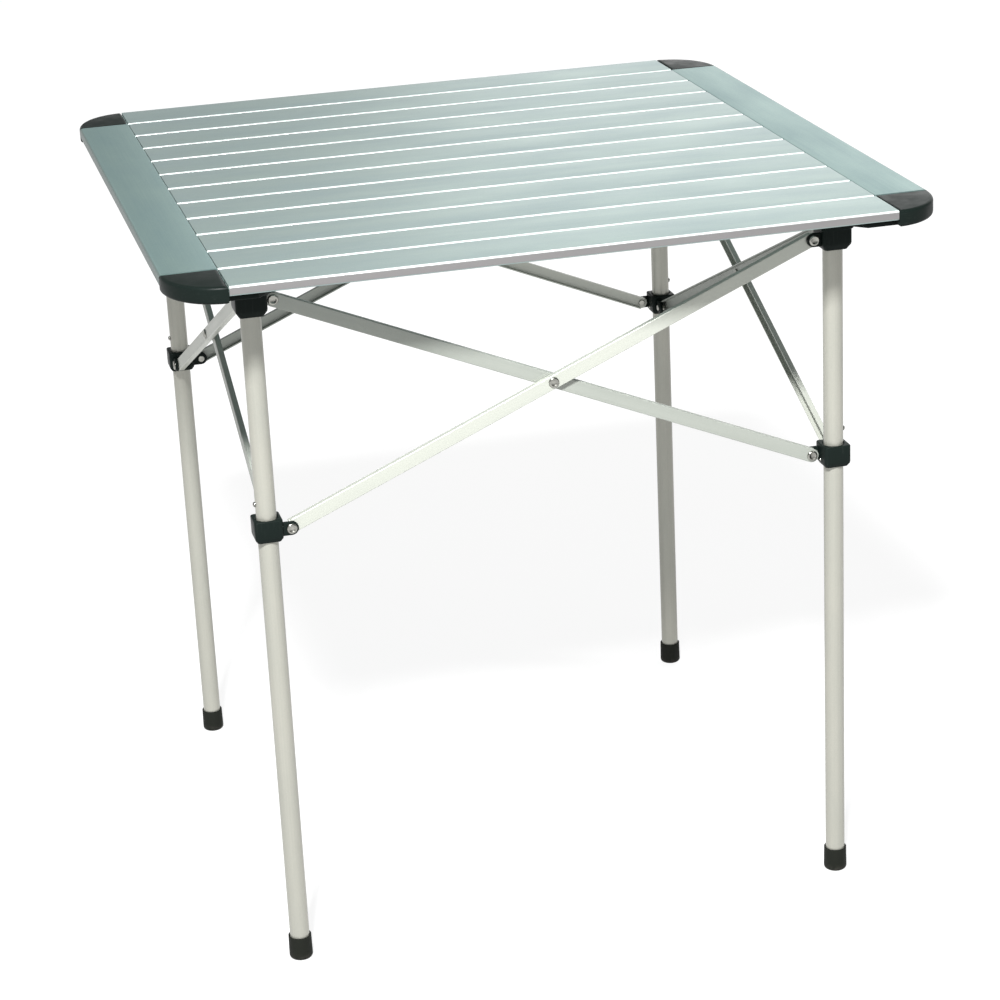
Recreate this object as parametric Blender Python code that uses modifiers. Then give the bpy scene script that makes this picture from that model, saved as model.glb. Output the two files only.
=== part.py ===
"""Folding camping side table: a slatted roll-up aluminium top on a four-sided scissor frame.

The table stands on the plane z = 0 with its middle at the origin. The slats run along X, the two end
rails along Y. The four sides are alike: seen from outside, each has an outer bar that rises from the
sliding collar of its left leg to the top bracket of its right leg, and an inner bar that falls the other
way, riveted together where they cross. Sides and legs are counted anticlockwise seen from above: front,
right, back, left, and front left, front right, back right, back left.
"""

import math

import bmesh
import bpy
from mathutils import Matrix, Vector

MM = 0.001

# Driving dimensions of the whole table
TABLE_WIDTH = 0.700
TABLE_DEPTH = 0.720
TABLE_HEIGHT = 0.690
LEG_INSET = 0.270
TOUCH_GAP = 0.3 * MM

# Slats
SLAT_COUNT = 12
SLAT_LENGTH = 0.5976
SLAT_GAP = 2.0 * MM
SLAT_THICKNESS = 9.0 * MM
SLAT_WALL = 0.7 * MM
SLAT_CORNER = 1.5 * MM
SLAT_WIDTH = (TABLE_DEPTH - (SLAT_COUNT - 1) * SLAT_GAP) / SLAT_COUNT
SLAT_PITCH = SLAT_WIDTH + SLAT_GAP
SLAT_UNDERSIDE = TABLE_HEIGHT - SLAT_THICKNESS

# End rails, which hold the slat ends on a ledge
RAIL_SEAM = 0.5 * MM
RAIL_INNER_X = SLAT_LENGTH / 2 + RAIL_SEAM
RAIL_OUTER_X = TABLE_WIDTH / 2
RAIL_LENGTH = 0.600
RAIL_HEIGHT = 12.0 * MM
RAIL_WALL = 1.2 * MM
RAIL_CORNER = 3.0 * MM
LEDGE_REACH = 16.0 * MM
LEDGE_THICKNESS = 1.5 * MM
LEDGE_TOP = SLAT_UNDERSIDE - TOUCH_GAP
LEDGE_BOTTOM = LEDGE_TOP - LEDGE_THICKNESS

# Corner caps
CAP_HEIGHT = 15.5 * MM
CAP_EDGE = 1.6 * MM
CAP_ARC_STEPS = 10
CAP_BOTTOM = TABLE_HEIGHT - CAP_HEIGHT
CAP_END_Y = RAIL_LENGTH / 2 + TOUCH_GAP
TONGUE_REACH_X = 0.262
TONGUE_INNER_Y = 0.246
TONGUE_OUTER_Y = 0.351
TONGUE_SLANT = 11.0 * MM
PLUG_LENGTH = 20.0 * MM
PLUG_PLAY = 0.4 * MM

# Legs and feet
LEG_RADIUS = 9.3 * MM
LEG_WALL = 1.0 * MM
FOOT_HEIGHT = 24.0 * MM
FOOT_RADIUS = 11.2 * MM
FOOT_FLOOR = 3.0 * MM
FOOT_EDGE = 3.0 * MM
SLIDE_RADIUS = LEG_RADIUS + TOUCH_GAP

# Scissor bars: pivots stand off the leg axes by PIVOT_REACH
PIVOT_REACH = 21.0 * MM
TOP_PIVOT_Z = 0.648
COLLAR_PIVOT_Z = 0.437
PIVOT_X = LEG_INSET - PIVOT_REACH
CROSSING_Z = (TOP_PIVOT_Z + COLLAR_PIVOT_Z) / 2
BAR_TILT = math.atan2(TOP_PIVOT_Z - COLLAR_PIVOT_Z, 2 * PIVOT_X)
BAR_LENGTH = math.hypot(TOP_PIVOT_Z - COLLAR_PIVOT_Z, 2 * PIVOT_X)
BAR_WIDTH = 13.0 * MM
BAR_DEPTH = 5.5 * MM
BAR_SHEET = 1.2 * MM
BAR_PLAY = 0.25 * MM
FLANGE_INSET = 0.1 * MM
PIVOT_HOLE_RADIUS = 2.3 * MM

# Plastic ears of the brackets and the collars, one layer outside the bars and one inside
EAR_NEAR = 6.0 * MM
EAR_THICKNESS = 3.0 * MM
EAR_RADIUS = 6.5 * MM
EAR_ROOT = 8.0 * MM

# Top brackets
BRACKET_TOP = CAP_BOTTOM - TOUCH_GAP
BRACKET_BOTTOM = 0.637
BRACKET_HALF = 14.2 * MM
BRACKET_FOOT_HALF = 11.2 * MM
BRACKET_TAPER = 6.0 * MM
BRACKET_PLATE_HALF = 15.5 * MM
BRACKET_PLATE_BOTTOM = 0.6562
BRACKET_PLATE_SLOPE = 1.3 * MM
BRACKET_ROOF = 5.5 * MM
LEG_TOP = BRACKET_TOP - BRACKET_ROOF - TOUCH_GAP

# Sliding collars
COLLAR_HEIGHT = 21.0 * MM
COLLAR_HALF = 13.0 * MM
COLLAR_FOOT_HALF = 11.2 * MM
COLLAR_TAPER = 4.0 * MM
FITTING_EDGE = 0.8 * MM

# Rivets
RIVET_HEAD_RADIUS = 5.0 * MM
RIVET_HEAD_HEIGHT = 1.4 * MM
RIVET_DISH_RADIUS = 2.4 * MM
RIVET_DISH_DEPTH = 0.7 * MM
RIVET_SHANK_RADIUS = 2.0 * MM
RIVET_TAIL_RADIUS = 3.4 * MM
RIVET_TAIL_HEIGHT = 1.2 * MM
STOP_HEIGHT_Z = 0.461
STOP_HEAD_RADIUS = 2.4 * MM
STOP_HEAD_HEIGHT = 1.8 * MM
STOP_SHANK_RADIUS = 1.4 * MM
STOP_SHANK_LENGTH = 3.0 * MM

LEG_STEPS = 24
FOOT_STEPS = 20
RIVET_STEPS = 12
ROUND_END_STEPS = 8
CORNER_STEPS = 3

SIDES = ("front", "right", "back", "left")
LEGS = ("front_left", "front_right", "back_right", "back_left")
LEG_JOINTS = (None, "front_right_leg_top", "back_right_leg_top", "back_left_leg_top")

FINISHES = {
    "slat_aluminium": ((0.47, 0.56, 0.55), 0.38, 0.9),
    "rail_aluminium": ((0.24, 0.36, 0.35), 0.40, 0.9),
    "leg_aluminium": ((0.60, 0.60, 0.53), 0.35, 0.9),
    "bar_aluminium": ((0.42, 0.45, 0.40), 0.42, 0.9),
    "rivet_steel": ((0.70, 0.70, 0.66), 0.25, 1.0),
    "black_plastic": ((0.022, 0.027, 0.025), 0.45, 0.0),
    "foot_rubber": ((0.025, 0.027, 0.024), 0.65, 0.0),
}


def clear_scene():
    """Remove every object that the file opened with."""
    for obj in list(bpy.data.objects):
        bpy.data.objects.remove(obj, do_unlink=True)


def new_collection(name):
    """Make a collection in the scene."""
    collection = bpy.data.collections.new(name)
    bpy.context.scene.collection.children.link(collection)
    return collection


def principled(name, colour, roughness, metallic):
    """Make a Principled material of one colour."""
    material = bpy.data.materials.new(name)
    material.use_nodes = True
    shader = material.node_tree.nodes["Principled BSDF"]
    shader.inputs["Base Color"].default_value = (*colour, 1.0)
    shader.inputs["Roughness"].default_value = roughness
    shader.inputs["Metallic"].default_value = metallic
    material.diffuse_color = (*colour, 1.0)
    return material


def frame_of(local_x, local_y, origin=(0.0, 0.0, 0.0)):
    """Matrix that puts the local X and Y axes along two directions, with Z square to both."""
    axis_x, axis_y = Vector(local_x), Vector(local_y)
    turn = Matrix((axis_x, axis_y, axis_x.cross(axis_y))).transposed().to_4x4()
    return Matrix.Translation(origin) @ turn


def helper(name, data):
    """Link a short-lived object that only serves to build a mesh."""
    obj = bpy.data.objects.new(name, data)
    bpy.context.scene.collection.objects.link(obj)
    return obj


def evaluated_mesh(obj, name):
    """Turn a helper into a welded mesh with its place applied, and remove the helper."""
    bpy.context.view_layer.update()
    graph = bpy.context.evaluated_depsgraph_get()
    mesh = bpy.data.meshes.new_from_object(obj.evaluated_get(graph))
    mesh.transform(obj.matrix_world)
    mesh.name = name
    bpy.data.objects.remove(obj, do_unlink=True)
    work = bmesh.new()
    work.from_mesh(mesh)
    bmesh.ops.remove_doubles(work, verts=work.verts, dist=1e-6)
    work.to_mesh(mesh)
    work.free()
    return mesh


def arc(centre, radius, start, end, steps):
    """Points on an arc from one angle to another, both ends included."""
    turn = (end - start) / steps
    return [
        (centre[0] + radius * math.cos(start + turn * i), centre[1] + radius * math.sin(start + turn * i))
        for i in range(steps + 1)
    ]


def circle(centre, radius, steps=RIVET_STEPS):
    """Points round a full circle, without repeating the first."""
    return arc(centre, radius, 0.0, math.tau, steps)[:-1]


def rounded_box(width, height, radius):
    """Outline of a rectangle with round corners, centred on the origin."""
    points = []
    for quarter, (side_x, side_y) in enumerate(((1, 1), (-1, 1), (-1, -1), (1, -1))):
        centre = (side_x * (width / 2 - radius), side_y * (height / 2 - radius))
        start = quarter * math.pi / 2
        points += arc(centre, radius, start, start + math.pi / 2, CORNER_STEPS)
    return points


def stadium(start, end, radius):
    """Outline of a strip with two round ends, along X from start to end."""
    right = arc((end, 0.0), radius, -math.pi / 2, math.pi / 2, ROUND_END_STEPS)
    left = arc((start, 0.0), radius, math.pi / 2, 1.5 * math.pi, ROUND_END_STEPS)
    return right + left


def prism(outlines, thickness, place, edge=0.0):
    """Flat shape with the given outlines, the first its rim and the others its holes, given a thickness.

    The thickness is centred on the local XY plane, and edge rounds the two rims.
    """
    curve = bpy.data.curves.new("outline", "CURVE")
    curve.dimensions = "2D"
    curve.fill_mode = "BOTH"
    curve.extrude = thickness / 2 - edge
    curve.bevel_depth = edge
    curve.bevel_resolution = 1
    curve.offset = -edge
    for points in outlines:
        spline = curve.splines.new("POLY")
        spline.points.add(len(points) - 1)
        for point, (x, y) in zip(spline.points, points):
            point.co = (x, y, 0.0, 1.0)
        spline.use_cyclic_u = True
    shape = helper("prism", curve)
    shape.matrix_world = place
    mesh = evaluated_mesh(shape, "prism")
    bpy.data.curves.remove(curve)
    return mesh


def turned(profile, steps, edge=0.0, turn=0.0):
    """Turned shape about Z from a profile of (radius, z) that runs down its outer side."""
    mesh = bpy.data.meshes.new("profile")
    points = [(radius, 0.0, z) for radius, z in profile]
    mesh.from_pydata(points, [(i, i + 1) for i in range(len(points) - 1)], [])
    shape = helper("turned", mesh)
    screw = shape.modifiers.new("Screw", "SCREW")
    screw.steps = screw.render_steps = steps
    screw.use_merge_vertices = True
    screw.merge_threshold = 1e-5
    if edge:
        bevel = shape.modifiers.new("Bevel", "BEVEL")
        bevel.width = edge
        bevel.segments = 1
        bevel.limit_method = "ANGLE"
    shape.matrix_world = Matrix.Rotation(turn, 4, "Z")
    return evaluated_mesh(shape, "turned")


def box(low, high):
    """Box between two corners."""
    work = bmesh.new()
    bmesh.ops.create_cube(work, size=1.0)
    size = Vector(high) - Vector(low)
    centre = (Vector(high) + Vector(low)) / 2
    place = Matrix.Translation(centre) @ Matrix.Diagonal((*size, 1.0))
    bmesh.ops.transform(work, matrix=place, verts=work.verts)
    mesh = bpy.data.meshes.new("box")
    work.to_mesh(mesh)
    work.free()
    return mesh


def rod(radius, length, place, steps=RIVET_STEPS):
    """Cylinder along the local Z axis, centred on the place."""
    work = bmesh.new()
    bmesh.ops.create_cone(
        work, cap_ends=True, segments=steps, radius1=radius, radius2=radius, depth=length, matrix=place
    )
    mesh = bpy.data.meshes.new("rod")
    work.to_mesh(mesh)
    work.free()
    return mesh


def combined(name, base, joined=(), cut=()):
    """Join meshes to a base mesh and cut others from it, as one closed body."""
    shape = helper(name, base)
    cutters = new_collection("cutters")
    tools = [(mesh, "UNION") for mesh in joined] + [(mesh, "DIFFERENCE") for mesh in cut]
    for mesh, operation in tools:
        tool = bpy.data.objects.new("tool", mesh)
        tool.hide_render = True
        tool.display_type = "WIRE"
        cutters.objects.link(tool)
        boolean = shape.modifiers.new(operation.title(), "BOOLEAN")
        boolean.operation = operation
        boolean.object = tool
    mesh = evaluated_mesh(shape, name)
    for tool in list(cutters.objects):
        bpy.data.objects.remove(tool, do_unlink=True)
    bpy.data.collections.remove(cutters)
    return mesh


def mirrored(mesh, name):
    """Copy of a mesh mirrored across the plane x = 0."""
    copy = mesh.copy()
    copy.name = name
    copy.transform(Matrix.Scale(-1.0, 4, (1.0, 0.0, 0.0)))
    copy.flip_normals()
    return copy


def quarter_turn(count, point=(0.0, 0.0, 0.0)):
    """A point turned about Z by a number of right angles."""
    return Matrix.Rotation(count * math.pi / 2, 4, "Z") @ Vector(point)


class Rig:
    """The empties that stand on the joints' axes, each with the pieces that move with it."""

    def __init__(self, collection):
        self.collection = collection
        self.places = {None: Vector((0.0, 0.0, 0.0))}
        self.empties = {None: None}

    def joint(self, name, parent, place):
        """Add an empty on a joint's axis, carried by its parent joint."""
        empty = bpy.data.objects.new(name, None)
        empty.empty_display_size = 0.02
        empty.parent = self.empties[parent]
        empty.location = place - self.places[parent]
        self.collection.objects.link(empty)
        self.empties[name] = empty
        self.places[name] = place
        return name

    def piece(self, name, mesh, finish, joint=None, place=(0.0, 0.0, 0.0), turn=(0.0, 0.0, 0.0)):
        """Add one named piece, at rest in its place and carried by a joint."""
        obj = bpy.data.objects.new(name, mesh)
        obj.parent = self.empties[joint]
        obj.location = Vector(place) - self.places[joint]
        obj.rotation_euler = turn
        if not mesh.materials:
            mesh.materials.append(principled(finish, *FINISHES[finish]))
        self.collection.objects.link(obj)
        return obj


def smooth(mesh, sharp_angle=math.radians(35)):
    """Shade a mesh smooth, with its sharp edges kept."""
    mesh.shade_smooth()
    mesh.set_sharp_from_angle(angle=sharp_angle)
    return mesh


def slat_mesh():
    """Hollow extruded slat, centred on its own middle."""
    outer = rounded_box(SLAT_WIDTH, SLAT_THICKNESS, SLAT_CORNER)
    inner = rounded_box(
        SLAT_WIDTH - 2 * SLAT_WALL, SLAT_THICKNESS - 2 * SLAT_WALL, SLAT_CORNER - SLAT_WALL
    )
    return smooth(prism([outer, inner], SLAT_LENGTH, frame_of((0, 1, 0), (0, 0, 1))))


def rail_mesh():
    """Right end rail: a hollow extrusion along Y with a ledge under the slat ends."""
    low, high = TABLE_HEIGHT - RAIL_HEIGHT, TABLE_HEIGHT
    tip = RAIL_INNER_X - LEDGE_REACH
    round_x = RAIL_OUTER_X - RAIL_CORNER
    outer = [(tip, LEDGE_TOP), (tip, LEDGE_BOTTOM), (RAIL_INNER_X, LEDGE_BOTTOM), (RAIL_INNER_X, low)]
    outer += arc((round_x, low + RAIL_CORNER), RAIL_CORNER, -math.pi / 2, 0.0, CORNER_STEPS)
    outer += arc((round_x, high - RAIL_CORNER), RAIL_CORNER, 0.0, math.pi / 2, CORNER_STEPS)
    outer += [(RAIL_INNER_X, high), (RAIL_INNER_X, LEDGE_TOP)]
    left, right = RAIL_INNER_X + RAIL_WALL, RAIL_OUTER_X - RAIL_WALL
    floor, roof = low + RAIL_WALL, high - RAIL_WALL
    corner = RAIL_CORNER - RAIL_WALL
    inner = [(left, roof), (left, floor)]
    inner += arc((right - corner, floor + corner), corner, -math.pi / 2, 0.0, CORNER_STEPS)
    inner += arc((right - corner, roof - corner), corner, 0.0, math.pi / 2, CORNER_STEPS)
    return smooth(prism([outer, inner], RAIL_LENGTH, frame_of((1, 0, 0), (0, 0, 1))))


def cap_mesh():
    """Corner cap at the right back: an elliptical corner, a plug for the rail and a tongue under the slats."""
    reach_x = RAIL_OUTER_X - RAIL_INNER_X
    reach_y = TABLE_DEPTH / 2 - CAP_END_Y
    outline = [(RAIL_INNER_X, CAP_END_Y)]
    outline += [
        (RAIL_INNER_X + reach_x * x, CAP_END_Y + reach_y * y)
        for x, y in arc((0.0, 0.0), 1.0, 0.0, math.pi / 2, CAP_ARC_STEPS)
    ]
    middle = Matrix.Translation((0.0, 0.0, TABLE_HEIGHT - CAP_HEIGHT / 2))
    corner = prism([outline], CAP_HEIGHT, middle, CAP_EDGE)
    root = RAIL_INNER_X + 3 * CAP_EDGE
    clear_x = RAIL_INNER_X - RAIL_SEAM
    tongue = [
        (root, TONGUE_OUTER_Y),
        (TONGUE_REACH_X + TONGUE_SLANT, TONGUE_OUTER_Y),
        (TONGUE_REACH_X, TONGUE_OUTER_Y - TONGUE_SLANT),
        (TONGUE_REACH_X, TONGUE_INNER_Y),
        (clear_x, TONGUE_INNER_Y),
        (clear_x, CAP_END_Y + CAP_EDGE),
        (root, CAP_END_Y + CAP_EDGE),
    ]
    tongue_top = LEDGE_BOTTOM - TOUCH_GAP
    tongue_middle = Matrix.Translation((0.0, 0.0, (CAP_BOTTOM + tongue_top) / 2))
    plate = prism([tongue], tongue_top - CAP_BOTTOM, tongue_middle)
    pad = box(
        (TONGUE_REACH_X + TONGUE_SLANT, CAP_END_Y, tongue_top - MM), (root, TONGUE_OUTER_Y - MM, LEDGE_TOP)
    )
    cavity_low = TABLE_HEIGHT - RAIL_HEIGHT + RAIL_WALL
    plug = box(
        (RAIL_INNER_X + RAIL_WALL + PLUG_PLAY, CAP_END_Y - PLUG_LENGTH, cavity_low + PLUG_PLAY),
        (
            RAIL_OUTER_X - RAIL_CORNER - PLUG_PLAY,
            CAP_END_Y + 3 * CAP_EDGE,
            TABLE_HEIGHT - RAIL_WALL - PLUG_PLAY,
        ),
    )
    return smooth(combined("corner_cap", corner, joined=[plate, pad, plug]))


def leg_mesh():
    """Leg tube about its own axis, with the hole for the collar stop towards +X."""
    low, high = FOOT_FLOOR + TOUCH_GAP, LEG_TOP
    inner = LEG_RADIUS - LEG_WALL
    profile = [(inner, high), (LEG_RADIUS, high), (LEG_RADIUS, low), (inner, low), (inner, high)]
    tube = turned(profile, LEG_STEPS)
    hole = rod(
        STOP_SHANK_RADIUS + TOUCH_GAP,
        4 * LEG_WALL,
        frame_of((0, 1, 0), (0, 0, 1), (LEG_RADIUS, 0.0, STOP_HEIGHT_Z)),
    )
    return smooth(combined("leg", tube, cut=[hole]))


def foot_mesh():
    """Foot cap: a cup with a round lower edge that the leg stands in."""
    edge = arc((FOOT_RADIUS - FOOT_EDGE, FOOT_EDGE), FOOT_EDGE, 0.0, -math.pi / 2, CORNER_STEPS)
    profile = [(0.0, FOOT_FLOOR), (SLIDE_RADIUS, FOOT_FLOOR), (SLIDE_RADIUS, FOOT_HEIGHT)]
    profile += [(FOOT_RADIUS, FOOT_HEIGHT)] + edge + [(0.0, 0.0)]
    return smooth(turned(profile, FOOT_STEPS))


def ear(along, outward, layer, pivot_z):
    """Flat ear with a pivot hole, from a leg's axis towards one side, in the outer or the inner layer.

    along points from the leg to the pivot, outward points out of that side, and layer is 1 or -1.
    """
    outline = [(EAR_ROOT, -EAR_RADIUS)]
    outline += arc((PIVOT_REACH, 0.0), EAR_RADIUS, -math.pi / 2, math.pi / 2, ROUND_END_STEPS)
    outline += [(EAR_ROOT, EAR_RADIUS)]
    hole = circle((PIVOT_REACH, 0.0), PIVOT_HOLE_RADIUS)
    middle = Vector(outward) * layer * (EAR_NEAR + EAR_THICKNESS / 2) + Vector((0.0, 0.0, pivot_z))
    return prism([outline, hole], EAR_THICKNESS, frame_of(along, (0, 0, 1), middle))


def square_profile(levels):
    """Profile of a square shaft turned in four steps, from (half width, z) levels that run downwards."""
    corners = [(half * math.sqrt(2), z) for half, z in levels]
    return [(0.0, levels[0][1])] + corners + [(0.0, levels[-1][1])]


def bracket_mesh():
    """Top bracket about its leg's axis: an inner ear towards +X and an outer ear towards +Y."""
    plate_side = BRACKET_PLATE_BOTTOM + BRACKET_PLATE_SLOPE
    levels = [
        (BRACKET_PLATE_HALF, BRACKET_TOP),
        (BRACKET_PLATE_HALF, plate_side),
        (BRACKET_HALF, BRACKET_PLATE_BOTTOM),
        (BRACKET_HALF, BRACKET_BOTTOM + BRACKET_TAPER),
        (BRACKET_FOOT_HALF, BRACKET_BOTTOM),
    ]
    body = turned(square_profile(levels), 4, FITTING_EDGE, math.pi / 4)
    ears = [
        ear((1, 0, 0), (0, -1, 0), -1, TOP_PIVOT_Z),
        ear((0, 1, 0), (-1, 0, 0), 1, TOP_PIVOT_Z),
    ]
    socket_top = BRACKET_TOP - BRACKET_ROOF
    socket_bottom = BRACKET_BOTTOM - BRACKET_TAPER
    middle = Matrix.Translation((0.0, 0.0, (socket_top + socket_bottom) / 2))
    socket = rod(SLIDE_RADIUS, socket_top - socket_bottom, middle, LEG_STEPS)
    return smooth(combined("top_bracket", body, joined=ears, cut=[socket]))


def collar_mesh():
    """Sliding collar about its leg's axis: an outer ear towards +X and an inner ear towards +Y."""
    high = COLLAR_PIVOT_Z + COLLAR_HEIGHT / 2
    low = high - COLLAR_HEIGHT
    levels = [(COLLAR_HALF, high), (COLLAR_HALF, low + COLLAR_TAPER), (COLLAR_FOOT_HALF, low)]
    body = turned(square_profile(levels), 4, FITTING_EDGE, math.pi / 4)
    ears = [
        ear((1, 0, 0), (0, -1, 0), 1, COLLAR_PIVOT_Z),
        ear((0, 1, 0), (-1, 0, 0), -1, COLLAR_PIVOT_Z),
    ]
    bore = rod(SLIDE_RADIUS, 2 * COLLAR_HEIGHT, Matrix.Translation((0.0, 0.0, COLLAR_PIVOT_Z)), LEG_STEPS)
    return smooth(combined("sliding_collar", body, joined=ears, cut=[bore]))


def bar_mesh(layer):
    """Channel bar along X about its middle, its web outwards (-Y), in the outer (1) or inner (-1) layer."""
    half = BAR_LENGTH / 2
    web_y = -(BAR_PLAY + BAR_DEPTH - BAR_SHEET / 2) if layer > 0 else BAR_PLAY + BAR_SHEET / 2
    edge_y = web_y + BAR_DEPTH - BAR_SHEET / 2
    outline = stadium(-half, half, BAR_WIDTH / 2)
    holes = [circle((x, 0.0), PIVOT_HOLE_RADIUS) for x in (-half, 0.0, half)]
    web = prism([outline] + holes, BAR_SHEET, frame_of((1, 0, 0), (0, 0, 1), (0.0, web_y, 0.0)))
    flanges = []
    for side in (-1, 1):
        rim = side * (BAR_WIDTH / 2 - FLANGE_INSET)
        root = side * (BAR_WIDTH / 2 - FLANGE_INSET - BAR_SHEET)
        flanges.append(box((-half, web_y, min(rim, root)), (half, edge_y, max(rim, root))))
    return smooth(combined("bar", web, joined=flanges))


def rivet_mesh(head_at, tail_at):
    """Rivet along the outward direction (-Y), between the planes that its head and its tail bear on."""
    head_top = head_at + RIVET_HEAD_HEIGHT
    rim = RIVET_HEAD_RADIUS - RIVET_DISH_DEPTH
    profile = [
        (0.0, head_top - RIVET_DISH_DEPTH),
        (RIVET_DISH_RADIUS, head_top - RIVET_DISH_DEPTH),
        (RIVET_DISH_RADIUS + RIVET_DISH_DEPTH, head_top),
        (rim, head_top),
        (RIVET_HEAD_RADIUS, head_at + RIVET_DISH_DEPTH),
        (RIVET_HEAD_RADIUS, head_at),
        (RIVET_SHANK_RADIUS, head_at),
        (RIVET_SHANK_RADIUS, tail_at),
        (RIVET_TAIL_RADIUS, tail_at),
        (RIVET_TAIL_RADIUS, tail_at - RIVET_TAIL_HEIGHT),
        (0.0, tail_at - RIVET_TAIL_HEIGHT),
    ]
    mesh = turned(profile, RIVET_STEPS)
    mesh.transform(Matrix.Rotation(math.pi / 2, 4, "X"))
    return smooth(mesh)


def stop_mesh():
    """Round-headed stop rivet along +X, its head bearing on the leg's surface at the origin."""
    dome = arc((0.0, 0.0), 1.0, math.pi / 2, 0.0, CORNER_STEPS)
    profile = [(STOP_HEAD_RADIUS * x, TOUCH_GAP + STOP_HEAD_HEIGHT * y) for x, y in dome]
    profile += [
        (STOP_SHANK_RADIUS, TOUCH_GAP),
        (STOP_SHANK_RADIUS, -STOP_SHANK_LENGTH),
        (0.0, -STOP_SHANK_LENGTH),
    ]
    mesh = turned(profile, RIVET_STEPS)
    mesh.transform(Matrix.Rotation(math.pi / 2, 4, "Y"))
    return smooth(mesh)


def leg_place(leg):
    """Foot of a leg's axis on the ground."""
    return quarter_turn(leg, (-LEG_INSET, -LEG_INSET, 0.0))


def side_point(side, x, z, y=-LEG_INSET):
    """A point given as on the front side, moved to another side."""
    return quarter_turn(side, (x, y, z))


def add_joints(rig):
    """Build the tree of joint empties: the scissor frame, the lifting top and the rolling slats.

    Each list entry is a joint, its parent, and its point on one of the sides.
    """
    top_left, top_right = (-PIVOT_X, TOP_PIVOT_Z), (PIVOT_X, TOP_PIVOT_Z)
    low_left, low_right = (-PIVOT_X, COLLAR_PIVOT_Z), (PIVOT_X, COLLAR_PIVOT_Z)
    crossing = (0.0, CROSSING_Z)
    frame_joints = [
        ("frame_fold", None, 0, top_left),
        ("front_outer_bar_cross", "frame_fold", 0, crossing),
        ("front_right_leg_top", "front_outer_bar_cross", 0, top_right),
        ("front_left_collar_pivot", "front_outer_bar_cross", 0, low_left),
        ("front_right_collar_pivot", "frame_fold", 0, low_right),
        ("right_inner_bar_top", "front_right_leg_top", 1, top_left),
        ("right_outer_bar_cross", "right_inner_bar_top", 1, crossing),
        ("back_right_leg_top", "right_outer_bar_cross", 1, top_right),
        ("back_right_collar_pivot", "right_inner_bar_top", 1, low_right),
        ("left_outer_bar_top", None, 3, top_right),
        ("left_inner_bar_cross", "left_outer_bar_top", 3, crossing),
        ("back_left_leg_top", "left_inner_bar_cross", 3, top_left),
        ("back_left_collar_pivot", "left_outer_bar_top", 3, low_left),
        ("back_outer_bar_top", "back_left_leg_top", 2, top_right),
        ("back_inner_bar_cross", "back_outer_bar_top", 2, crossing),
    ]
    for name, parent, side, (x, z) in frame_joints:
        rig.joint(name, parent, side_point(side, x, z))
    parent = rig.joint("top_lift", None, Vector((0.0, 0.0, SLAT_UNDERSIDE)))
    for number in range(2, SLAT_COUNT + 1):
        hinge_y = -TABLE_DEPTH / 2 + (number - 1) * SLAT_PITCH - SLAT_GAP / 2
        parent = rig.joint(slat_joint(number), parent, Vector((0.0, hinge_y, TABLE_HEIGHT)))


def slat_joint(number):
    """Name of the joint that carries a slat, counted from the front."""
    if number == 1:
        return "top_lift"
    return "slat_roll" if number == 2 else f"slat_{number:02d}_link"


def add_table_top(rig):
    """Slats, end rails and corner caps."""
    slat = slat_mesh()
    for number in range(1, SLAT_COUNT + 1):
        y = -TABLE_DEPTH / 2 + SLAT_WIDTH / 2 + (number - 1) * SLAT_PITCH
        place = (0.0, y, TABLE_HEIGHT - SLAT_THICKNESS / 2)
        rig.piece(f"slat_{number:02d}", slat, "slat_aluminium", slat_joint(number), place)
    rail = rail_mesh()
    rig.piece("end_rail_right", rail, "rail_aluminium", "top_lift")
    rig.piece("end_rail_left", rail, "rail_aluminium", "top_lift", turn=(0.0, 0.0, math.pi))
    cap = cap_mesh()
    other_cap = mirrored(cap, "corner_cap_mirrored")
    for name, mesh, turn in (
        ("corner_cap_back_right", cap, 0.0),
        ("corner_cap_front_left", cap, math.pi),
        ("corner_cap_back_left", other_cap, 0.0),
        ("corner_cap_front_right", other_cap, math.pi),
    ):
        rig.piece(name, mesh, "black_plastic", "top_lift", turn=(0.0, 0.0, turn))


def add_legs(rig):
    """Leg tubes, feet, top brackets, collar stops and sliding collars."""
    leg, foot, bracket, collar, stop = leg_mesh(), foot_mesh(), bracket_mesh(), collar_mesh(), stop_mesh()
    for number, name in enumerate(LEGS):
        joint, place = LEG_JOINTS[number], leg_place(number)
        turn = (0.0, 0.0, number * math.pi / 2)
        outside = 1 if place.x > 0 else -1
        outward = (0.0, 0.0, 0.0 if outside > 0 else math.pi)
        stop_place = place + Vector((outside * LEG_RADIUS, 0.0, STOP_HEIGHT_Z))
        rig.piece(f"leg_{name}", leg, "leg_aluminium", joint, place, outward)
        rig.piece(f"foot_{name}", foot, "foot_rubber", joint, place)
        rig.piece(f"top_bracket_{name}", bracket, "black_plastic", joint, place, turn)
        rig.piece(f"collar_stop_{name}", stop, "rivet_steel", joint, stop_place, outward)
        rig.piece(f"collar_{name}", collar, "black_plastic", f"{name}_collar_pivot", place, turn)


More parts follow.
